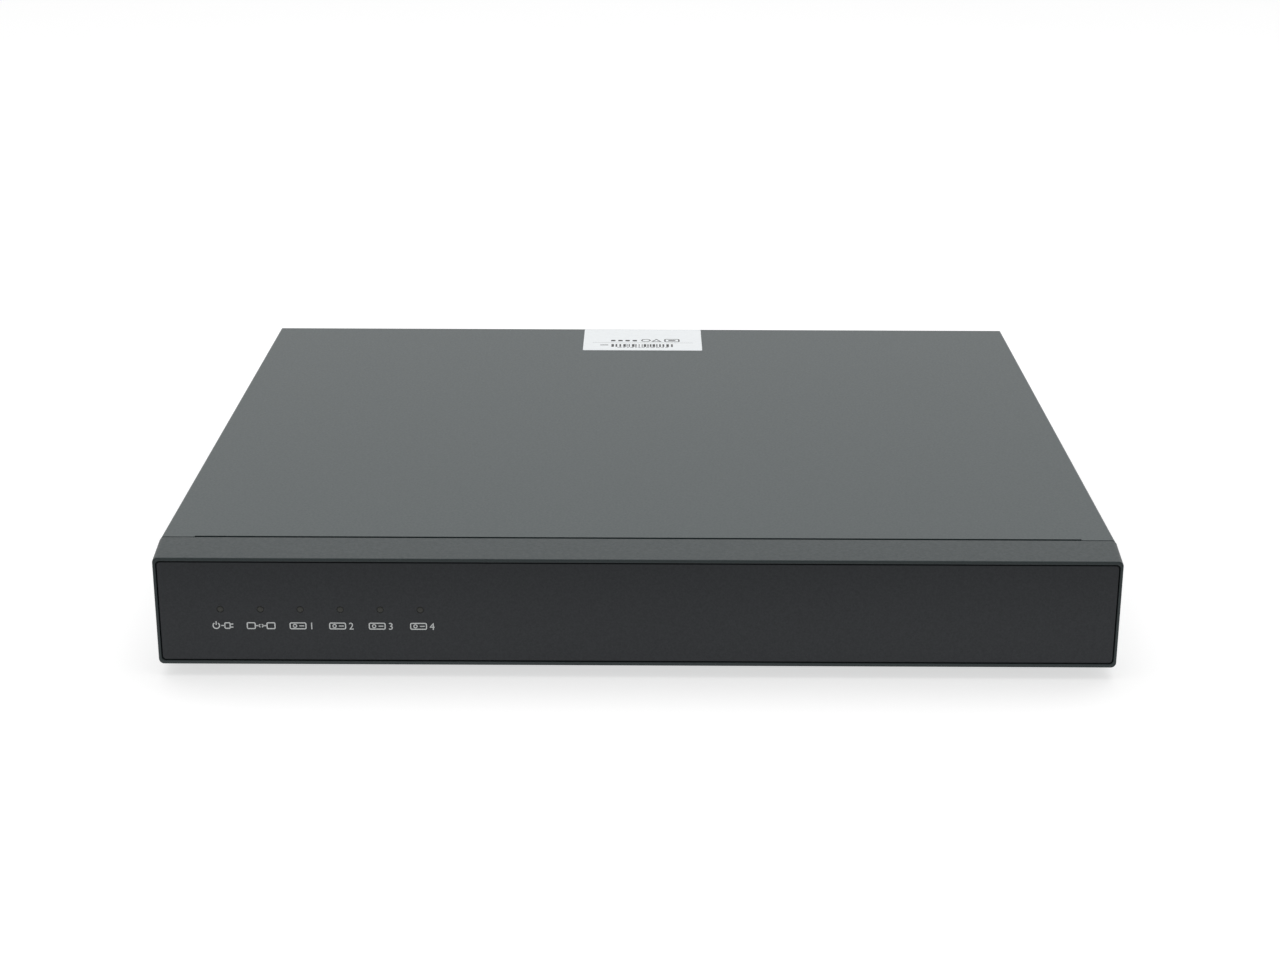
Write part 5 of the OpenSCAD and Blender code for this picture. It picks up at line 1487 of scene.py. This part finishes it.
def make_supply():
    """The open supply: transformer, choke, capacitors, cooling plates with the parts on
    them, a film capacitor and a fuse."""
    ferrite, tape, copper = Shape(), Shape(), Shape()
    core_x, core_y = 177, 292
    for y in (-15, 9):
        pad(ferrite, core_x, core_y + y, BOARD_Z, (34, 6, 28), 0.6, 0.4)
    for z in (0, 25):
        pad(ferrite, core_x, core_y - 9, BOARD_Z + z, (11, 18, 3), 0.5, 0.3)
    pad(tape, core_x, core_y - 8.9, BOARD_Z + 3, (24, 17.8, 22), 3.5, 0.8, 8)
    for z in (0, 12):
        pad(ferrite, 193, 331, BOARD_Z + z, (20, 18, 5), 1, 0.4)
    turns = np.arange(45)
    for x in (187, 199):
        wave = np.stack([np.where(turns % 3 == 1, 3.95, np.where(turns % 3 == 0, 3.35, 3.7)),
                         turns * 0.14 + 5.2], -1)
        turned(copper, x, 340, BOARD_Z, [(3.2, 5.0), *wave.tolist(), (3.2, 12.0)], 28)
    make("transformer_core", ferrite, "ferrite", replaces=("psu_transformer",))
    make("transformer_tape", tape, "winding")
    make("choke_winding", copper, "copper_wire")
    sleeves, tops = Shape(), Shape()
    for x, y, r, h in [(164, 328, 11, 30)] + [(157 + k * 13, 259, 5, 20) for k in range(4)]:
        turned(sleeves, x, y, BOARD_Z, [(r * 0.9, 0), (r, 0.5), (r, 1.8), (r - 0.35, 2.5), (r, 3.2),
                                        (r, h - 0.7),
                                        (r - 0.25, h - 0.15), (r - 0.8, h), (r - 1.0, h - 0.25)],
                                        40)
        turned(tops, x, y, BOARD_Z, [(r - 0.95, h - 0.5), (r - 0.95, h - 0.22), (r - 1.1, h - 0.16),
                                     (r * 0.25, h - 0.16)],
               40)
    make("supply_can_sleeves", sleeves, "supply_cans",
         replaces=("psu_capacitors",))
    make("supply_can_tops", tops, "can_aluminium")
    plates, packages, tabs = Shape(), Shape(), Shape()
    for x in (145, 208):
        pad(plates, x, 268, BOARD_Z, (2.4, 62, 26), 0.5, 0.3)
        inward = 1 if x < 170 else -1
        for y in (276, 296, 314):
            pad(packages, x + inward * 3.7, y, BOARD_Z + 4, (4.2, 10, 9), 0.4, 0.3)
            pad(tabs, x + inward * 1.9, y, BOARD_Z + 12.5, (1.3, 10, 6.5), 0.3, 0.15)
            for k in (-2.5, 0, 2.5):
                block(tabs, x + inward * 3.6, y + 4.7 + k, BOARD_Z, (0.5, 0.7, 4.2))
            head = lathe_rings(np.array([(2.6, 0), (2.6, 0.9), (2.2, 1.3), (0.9, 1.3),
                                         (0.8, 0.8)]) * MM, 18)
            tabs.rings(turn(head, "zxy") * [inward, 1, 1] + at(x + inward * 2.5, y + 5,
                                                               BOARD_Z + 15.9))
    make("cooling_plates", plates, "plain_aluminium",
         replaces=("psu_heatsinks",))
    make("switch_packages", packages, "chip_black")
    make("switch_tabs", tabs, "tin")
    film, glass = Shape(), Shape()
    pad(film, 190, 316, BOARD_Z, (17, 7, 11), 0.8, 0.5)
    pad(film, 201, 236, BOARD_Z, (8, 12, 10), 0.8, 0.5)
    make("film_capacitors", film, "wire_yellow")
    for y in (338, 354):
        ring = lathe_rings(np.array([(2.3, 0), (2.6, 0.2), (2.6, 3.3), (2.3, 3.5)]) * MM, 20)
        glass.rings(turn(ring, "xz-y") + at(150, y - 1.75, BOARD_Z + 3.2))
    make("fuse_caps", glass, "tin")
    tube = Shape()
    turned(tube, 150, 338, BOARD_Z + 3.2, [(2.35, 0), (2.35, 16)], 20, "y")
    make("fuse_tube", tube, "core_white")
    axial = Shape()
    for x, y in ((204, 256), (186, 240), (186, 246), (146, 256), (146, 262)):
        body = lathe_rings(np.array([(0.3, -5), (0.3, -3.2), (0.9, -3.1), (1.15, -2.6), (1.0, -1.6),
                                     (1.0, 1.6), (1.15, 2.6),
                                     (0.9, 3.1), (0.3, 3.2), (0.3, 5)]) * MM, 14)
        axial.rings(turn(body, "xz-y") + at(x, y, BOARD_Z + 1.3))
    make("axial_resistors", axial, "ceramic")


# ------------------------------------------------------------------ wiring


def bundle(shapes, points, offsets, radius, side, steps=10, sides=10):
    """Several wires carried side by side along one path: each wire's section is a circle
    about its own (across, through) offset, in millimetres, and goes into its own shape."""
    for (name, across, through) in offsets:
        section = round_section(radius * MM, sides) + np.array([across, through]) * MM
        shapes.setdefault(name, Shape()).rings(carried(at(*np.array(points, float).T), section,
                                                       side, steps))


def flat_section(width, thick, lobes, samples=48):
    """A flat cable's section, as (across, through) pairs: a superellipse whose thickness
    is drawn in between its cores by a rectified cosine of the place across."""
    section = oval_section(width, thick, samples, 5.0)
    wave = 0.72 + 0.28 * np.abs(np.sin(math.pi * lobes * (section[:, 0] / width + 0.5)))
    section[:, 1] *= wave
    return section * MM


def make_data_cables():
    """Four flat red cables, each from a drive's socket up and over to the main board, with
    a moulded plug and neck at either end and a steel latch on the drive's plug."""
    cables, latches = Shape(), Shape()
    y0, plug_z = DRIVE_BACK_Y, DRIVE_PLUG_Z
    for i, x1 in enumerate(HEADER_X):
        x0 = DRIVE_X[i] - 1
        pad(cables, x0, y0 + 0.1, plug_z - 3, (13.6, 14, 6), 0.8, 0.5, 4)
        pad(cables, x0, y0 + 13.5, plug_z - 2, (10, 3.8, 4), 0.8, 0.6, 4)
        pad(cables, x1, 241, BOARD_Z + 8.1, (13.6, 6, 11.5), 0.8, 0.5, 4)
        pad(cables, x1, 242, BOARD_Z + 19, (10, 4, 4.2), 0.8, 0.6, 4)
        points = [(x0, y0 + 16, plug_z), (x0, y0 + 25, plug_z),
                  (x0 + (x1 - x0) * 0.25, y0 + 36, plug_z + 9),
                  (x0 + (x1 - x0) * 0.75, 226, 40 + i), (x1 - (x1 - x0) * 0.03, 238, 46),
                  (x1, 244, 40),
                  (x1, 244, 29)]
        cables.rings(carried(at(*np.array(points).T), flat_section(7, 1.6, 2), (1, 0, 0), 12))
        pad(latches, x0, y0 + 2, plug_z + 2.95, (4.4, 9, 0.35), 0.5, 0.12, 3)
        pad(latches, x0, y0 + 8, plug_z + 3.2, (3.0, 2.2, 0.5), 0.5, 0.15, 3)
    make("data_cable_set", cables, "data_red", replaces=("data_cables",))
    make("cable_latches", latches, "tin")


POWER_WIRES = [("wire_yellow", -1.5, -0.75), ("loom_black", 0, -0.75), ("wire_red", 1.5, -0.75),
               ("loom_black", -0.75, 0.7), ("wire_orange", 0.75, 0.7)]


def make_power_loom(s):
    """The drives' power plugs and the wires that join them: five wires run the length of
    the loom and on to the supply, and five more rise to them from each plug. The leads to
    the main board and the fan, and the grey ribbon from the lights, are carried the same
    way."""
    r = s.wire / MM / 2
    shapes = {}
    plugs = Shape()
    y0, plug_z = DRIVE_BACK_Y, DRIVE_PLUG_Z
    for x in DRIVE_X - 26:
        pad(plugs, x, y0 + 0.1, plug_z - 3, (22.6, 13, 6), 0.8, 0.5, 4)
        pad(plugs, x, y0 + 12.5, plug_z - 2.6, (19, 2.6, 5.2), 0.8, 0.5, 4)
        pad(plugs, x, 204.4, 16.2, (13.5, 5.2, 3.8), 1.2, 0.6, 4)
        for k, (name, _, _) in enumerate(POWER_WIRES):
            dx = (k - 2) * 2.4
            points = [(x + dx * 1.4, y0 + 14, plug_z), (x + dx * 1.3, y0 + 17.5, plug_z),
                      (x + dx, 206.2, plug_z + 1.6),
                      (x + dx, 207, 13), (x + dx, 207, 17)]
            bundle(shapes, points, [(name, 0, 0)], r, (1, 0, 0), 6)
    d = DRIVE_X
    trunk = [(d[0] - 32, 207, 18), (d[0] + 20, 207.2, 18.1), (d[1] - 26, 207, 18),
             (d[1] + 26, 206.8, 18),
             (d[2] - 26, 207, 18), (d[2] + 26, 207.2, 18.1), (d[3] - 26, 207, 18),
             (d[3] - 6, 207, 18),
             (d[3] + 1, 209, 18), (165, 222, 24), (170, 234, 24), (170, 240, 17.7)]
    bundle(shapes, trunk, POWER_WIRES, r, (0, 1, 0), 12)
    lead = [(64, 240, 17.6), (64, 240, 24), (76, 239, 31), (130, 239, 31), (151, 240, 25),
            (151, 240, 17.6)]
    ring = np.arange(6) * math.tau / 6
    around = [(name, 1.75 * math.cos(a), 1.75 * math.sin(a)) for a, name in
              zip(ring, ("wire_yellow", "loom_black", "wire_red", "loom_black", "wire_yellow",
                         "wire_orange"))]
    bundle(shapes, lead, [("loom_black", 0, 0), *around], 0.85, (0, 1, 0), 12)
    fan = [(90, 375.8, 30), (84, 375.8, 30), (80, 358, 29), (82, 318, 27), (82, 306, 26),
           (82, 303.7, 22),
           (82, 303.7, 14.6)]
    bundle(shapes, fan, [("wire_red", -0.65, 0), ("loom_black", 0.65, 0)], 0.6, (0, 1, 0), 8, 8)
    for name, shape in shapes.items():
        make(f"loom_{name}", shape, name)
    for x in (151, 170):
        pad(plugs, x, 236.5, BOARD_Z, (14, 7, 9), 0.6, 0.4)
    make("power_plugs", plugs, "black_plastic", replaces=("power_loom",))
    ribbon = Shape()
    line = [(-189.3, 16.2, 27), (-189.3, 18.6, 27), (-196, 22.6, 27), (-207, 24, 27),
            (-211.5, 30, 27),
            (-212.6, 42, 26), (-212.6, 120, 26), (-212.6, 200, 26), (-212, 226, 27),
            (-207, 240, 28), (-203, 243, 22),
            (-203, 243, 15.7)]
    ribbon.rings(carried(at(*np.array(line).T), flat_section(8, 1.1, 7, 64), (0, 0, 1), 10))
    make("light_ribbon", ribbon, "ribbon_grey")


def make_mains_leads():
    """Mains leads from the inlet and the switch to the supply, with a sleeve over each tab
    and a housing on the supply's posts."""
    shapes = {}
    sleeves, housings = Shape(), Shape()
    sleeve = [(1.6, 0), (2.0, 0.3), (2.4, 2), (2.5, 2.4), (2.5, 9), (2.3, 9.3)]
    for k, name in enumerate(("lead_brown", "lead_green", "lead_blue")):
        x, z = 180 + 7 * k, 20 + (2 if k == 1 else -2)
        points = [(x, 366.8, z), (x, 362.8, z), (x - 1, 358, 19 + 4 * k), (184 + 6 * k, 354, 21),
                  (184 + 6 * k, 354, BOARD_Z + 7.5)]
        bundle(shapes, points, [(name, 0, 0)], 1.35, (1, 0, 0), 10, 14)
        turned(sleeves, x, 362.5, z, sleeve, 20, "y")
    for k, name in enumerate(("lead_brown", "lead_blue")):
        z = 15.9 + 7 * k
        points = [(ROCKER_X, 366.8, z), (ROCKER_X, 361.8, z), (151, 356, 23 + 5 * k),
                  (165 + 4 * k, 352, 24 + 5 * k),
                  (168 + 6 * k, 354, 22 + 3 * k), (168 + 6 * k, 354, BOARD_Z + 7.5)]
        bundle(shapes, points, [(name, 0, 0)], 1.35, (1, 0, 0), 10, 14)
        turned(sleeves, ROCKER_X, 362.5, z, sleeve, 20, "y")
    for x, wide in ((190, 20), (171, 13)):
        pad(housings, x, 350.4, BOARD_Z, (wide, 7, 8), 0.6, 0.4)
    for name, shape in shapes.items():
        make(f"mains_{name}", shape, name)
    make("mains_sleeves", sleeves, "core_white")
    make("mains_housings", housings, "core_white", replaces=("mains_leads",))


# ------------------------------------------------------------------ stage


def make_floor(settings):
    """A wide round floor, as a grid of rings about the object."""
    radius = np.concatenate([[0.02], np.geomspace(0.2, 9, 12)])
    angle = np.arange(64) * math.tau / 64
    points = np.stack([np.outer(radius, np.cos(angle)), np.outer(radius, np.sin(angle)),
                       np.full((len(radius), 64), -0.00005)], -1)
    shape = Shape().add(points, grid_quads(len(radius), 64).tolist() + [list(range(64))])
    mesh = bpy.data.meshes.new("floor")
    mesh.from_pydata(np.concatenate(shape.points).tolist(), [], shape.faces)
    floor = bpy.data.objects.new("floor", mesh)
    bpy.context.scene.collection.objects.link(floor)
    sheet = Finish("floor_paper", tuple(settings.floor), 0.9, specular_ior_level=0.0,
                   emission_color=(1, 1, 1, 1), emission_strength=settings.floor_glow)
    sheet.tint(3, 0.01)
    mesh.materials.append(sheet.material)
    floor.visible_diffuse = False
    floor.visible_glossy = False


def make_panel_light(name, place, aim, size, power):
    """A rectangular soft light that faces a point, and that the camera doesn't see."""
    lamp = bpy.data.lights.new(name, "AREA")
    lamp.shape = "RECTANGLE"
    lamp.size, lamp.size_y = size
    lamp.energy = power
    holder = bpy.data.objects.new(name, lamp)
    holder.location = place
    holder.rotation_euler = (Vector(aim) - Vector(place)).to_track_quat("-Z", "Y").to_euler()
    holder.visible_camera = False
    bpy.context.scene.collection.objects.link(holder)


def make_camera(settings):
    """The camera, from its place, pitch, yaw, roll and focal length."""
    data = bpy.data.cameras.new("camera")
    data.lens = settings.lens
    data.sensor_width = 36
    data.clip_start = 0.01
    camera = bpy.data.objects.new("camera", data)
    p, y, r = settings.pitch, settings.yaw, settings.roll
    ahead = Vector((math.sin(y) * math.cos(p), math.cos(y) * math.cos(p), -math.sin(p)))
    right = Vector((math.cos(y), -math.sin(y), 0))
    up = right.cross(ahead)
    right, up = (right * math.cos(r) + up * math.sin(r), up * math.cos(r) - right * math.sin(r))
    camera.matrix_world = Matrix((
        (right.x, up.x, -ahead.x, settings.camera_place[0]),
        (right.y, up.y, -ahead.y, settings.camera_place[1]),
        (right.z, up.z, -ahead.z, settings.camera_place[2]),
        (0, 0, 0, 1)))
    bpy.context.scene.collection.objects.link(camera)
    bpy.context.scene.camera = camera


def make_surroundings(settings):
    """White surroundings that are brighter behind the object than in front of it: their
    strength rises smoothly with the direction's part along y. The camera itself sees them
    all as bright as they are behind."""
    world = bpy.data.worlds.new("studio")
    world.use_nodes = True
    nodes, links = world.node_tree.nodes, world.node_tree.links
    direction = nodes.new("ShaderNodeTexCoord").outputs["Generated"]
    parts = nodes.new("ShaderNodeSeparateXYZ")
    links.new(direction, parts.inputs[0])
    rise = nodes.new("ShaderNodeMapRange")
    rise.interpolation_type = "SMOOTHSTEP"
    for key, number in (("From Min", -0.15), ("From Max", 0.55), ("To Min", settings.sky_front),
                        ("To Max", settings.sky)):
        rise.inputs[key].default_value = number
    links.new(parts.outputs["Y"], rise.inputs["Value"])
    seen = nodes.new("ShaderNodeLightPath").outputs["Is Camera Ray"]
    strength = nodes.new("ShaderNodeMix")
    links.new(seen, strength.inputs["Factor"])
    links.new(rise.outputs["Result"], strength.inputs["A"])
    strength.inputs["B"].default_value = settings.sky
    links.new(strength.outputs["Result"], nodes["Background"].inputs["Strength"])
    nodes["Background"].inputs["Color"].default_value = (1, 1, 1, 1)
    bpy.context.scene.world = world
    bpy.context.scene.view_settings.view_transform = "Standard"


# ------------------------------------------------------------------ operators

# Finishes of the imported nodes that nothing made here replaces.
NODE_FINISHES = {
    "base_tray": "zinc_steel", "led_board": "board_green", "drive_boards": "board_green",
    "main_board": "board_green", "standoffs": "brass", "psu_board": "board_tan",
    **{f"platters_{i}": "disk" for i in range(1, DRIVE_COUNT + 1)},
}


class Step:
    """What every operator here shares: it makes its pieces, and it can be undone."""

    bl_options = {"REGISTER", "UNDO"}

    def execute(self, context):
        self.build(context.scene)
        return {"FINISHED"}


class RECORDER_OT_stage(Step, bpy.types.Operator):
    """Sets up the floor, the lights, the surroundings and the camera"""

    bl_idname = "recorder.stage"
    bl_label = "Stage"

    def build(self, scene):
        settings = scene.recorder_studio
        make_surroundings(settings)
        make_floor(settings)
        make_panel_light("overhead", (0, 0.1, 1.9), (0, 0, 0), (2.4, 2.0), settings.key)
        make_panel_light("bounce", (0, FRONT_Y - 0.06, 0.002), (0, FRONT_Y - 0.02, 0.05),
                         (0.7, 0.06),
                         settings.bounce)
        make_camera(settings)


class RECORDER_OT_finishes(Step, bpy.types.Operator):
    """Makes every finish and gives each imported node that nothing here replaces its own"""

    bl_idname = "recorder.finishes"
    bl_label = "Finishes"

    def build(self, scene):
        build_finishes(scene.recorder_colours)
        for node, name in NODE_FINISHES.items():
            paint(node, name)


class RECORDER_OT_bezel(Step, bpy.types.Operator):
    """Moulds the bezel, its front panel and its lights"""

    bl_idname = "recorder.bezel"
    bl_label = "Bezel and lights"

    def build(self, scene):
        make_bezel(scene.recorder_sizes)
        make_front_panel(scene.recorder_sizes)
        make_lights()


class RECORDER_OT_prints(Step, bpy.types.Operator):
    """Prints the marks on the front and lays the label on the cover"""

    bl_idname = "recorder.prints"
    bl_label = "Marks and label"

    def build(self, scene):
        make_front_marks(scene.recorder_sizes)
        make_label(scene.recorder_sizes)


class RECORDER_OT_case(Step, bpy.types.Operator):
    """Rounds the sheet edges of the cover and the rear panel, and the edges of the cover's screws
    and the feet
    """

    bl_idname = "recorder.case"
    bl_label = "Case"

    def build(self, scene):
        softened("top_cover", "cover_paint", 0.15 * MM, "cover")
        softened("rear_panel", "panel_paint", 0.12 * MM)
        softened("cover_screws", "screw_black", 0.15 * MM, "cover")
        softened("rubber_feet", "rubber", 0.3 * MM)


class RECORDER_OT_rear(Step, bpy.types.Operator):
    """Makes the connectors, the switch and the marks on the rear panel"""

    bl_idname = "recorder.rear"
    bl_label = "Rear connectors"

    def build(self, scene):
        make_coaxial_jacks()
        make_phono_jacks()
        make_video_socket()
        make_data_ports()
        make_rocker_marks(scene.recorder_sizes)
        make_rear_marks(scene.recorder_sizes)
        for node, name, width, body in (
                ("terminal_header", "terminal_green", 0.2, "case"),
                ("terminal_plug", "terminal_green", 0.25, "alarm_plug"),
                ("terminal_screws", "nickel", 0.12, "alarm_plug"),
                ("reset_switch", "black_plastic", 0.2, "case"),
                ("reset_button", "button_red", 0.2, "reset"),
                ("ground_screw", "nickel", 0.15, "case"),
                ("machine_screws", "nickel", 0.15, "case"),
                ("ac_inlet", "black_plastic", 0.35, "case"),
                ("ac_pins", "nickel", 0.35, "case"),
                ("switch_housing", "black_plastic", 0.3, "case"),
                ("power_rocker", "black_plastic", 0.3, "rocker")):
            softened(node, name, width * MM, body)


class RECORDER_OT_drives(Step, bpy.types.Operator):
    """Makes the four drives"""

    bl_idname = "recorder.drives"
    bl_label = "Drives"

    def build(self, scene):
        make_drives(scene.recorder_sizes)


class RECORDER_OT_board(Step, bpy.types.Operator):
    """Fits out the main board"""

    bl_idname = "recorder.board"
    bl_label = "Main board"

    def build(self, scene):
        make_chips()
        make_cans()
        make_small_parts()
        make_coils_and_crystals()
        softened("soc_heatsink", "black_aluminium", 0.2 * MM)
        softened("coin_cell", "nickel", 0.25 * MM)
        softened("board_headers", "black_plastic", 0.3 * MM)


class RECORDER_OT_supply(Step, bpy.types.Operator):
    """Makes the power supply"""

    bl_idname = "recorder.supply"
    bl_label = "Power supply"

    def build(self, scene):
        make_supply()


class RECORDER_OT_wiring(Step, bpy.types.Operator):
    """Runs the data cables, the power loom, the ribbon and the mains leads"""

    bl_idname = "recorder.wiring"
    bl_label = "Wiring"

    def build(self, scene):
        make_data_cables()
        make_power_loom(scene.recorder_sizes)
        make_mains_leads()


class RECORDER_OT_fan(Step, bpy.types.Operator):
    """Makes the fan's frame and rotor"""

    bl_idname = "recorder.fan"
    bl_label = "Fan"

    def build(self, scene):
        make_fan()


PIECES = (RECORDER_OT_stage, RECORDER_OT_finishes, RECORDER_OT_case, RECORDER_OT_bezel,
          RECORDER_OT_prints, RECORDER_OT_rear, RECORDER_OT_fan, RECORDER_OT_drives,
          RECORDER_OT_board, RECORDER_OT_supply, RECORDER_OT_wiring)


class RECORDER_PT_pieces(bpy.types.Panel):
    """Lists the recorder's pieces and its settings"""

    bl_idname = "RECORDER_PT_pieces"
    bl_label = "Video Recorder"
    bl_space_type = "VIEW_3D"
    bl_region_type = "UI"
    bl_category = "Recorder"

    def draw(self, context):
        column = self.layout.column(align=True)
        for piece in PIECES:
            column.operator(piece.bl_idname)
        for group in (context.scene.recorder_sizes, context.scene.recorder_colours,
                      context.scene.recorder_studio):
            box = self.layout.box()
            for name in group.__annotations__:
                box.prop(group, name)


GROUPS = (RecorderSizes, RecorderColours, StudioSettings)


def register():
    """Adds the recorder's settings, operators and panel."""
    for item in (*GROUPS, *PIECES, RECORDER_PT_pieces):
        bpy.utils.register_class(item)
    bpy.types.Scene.recorder_sizes = PointerProperty(type=RecorderSizes)
    bpy.types.Scene.recorder_colours = PointerProperty(type=RecorderColours)
    bpy.types.Scene.recorder_studio = PointerProperty(type=StudioSettings)


def unregister():
    """Takes them away again."""
    del bpy.types.Scene.recorder_sizes
    del bpy.types.Scene.recorder_colours
    del bpy.types.Scene.recorder_studio
    for item in reversed((*GROUPS, *PIECES, RECORDER_PT_pieces)):
        bpy.utils.unregister_class(item)


def main():
    """Registers the add-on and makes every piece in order."""
    register()
    for piece in PIECES:
        getattr(bpy.ops.recorder, piece.bl_idname.split(".")[1])()


if __name__ == "__main__":
    main()
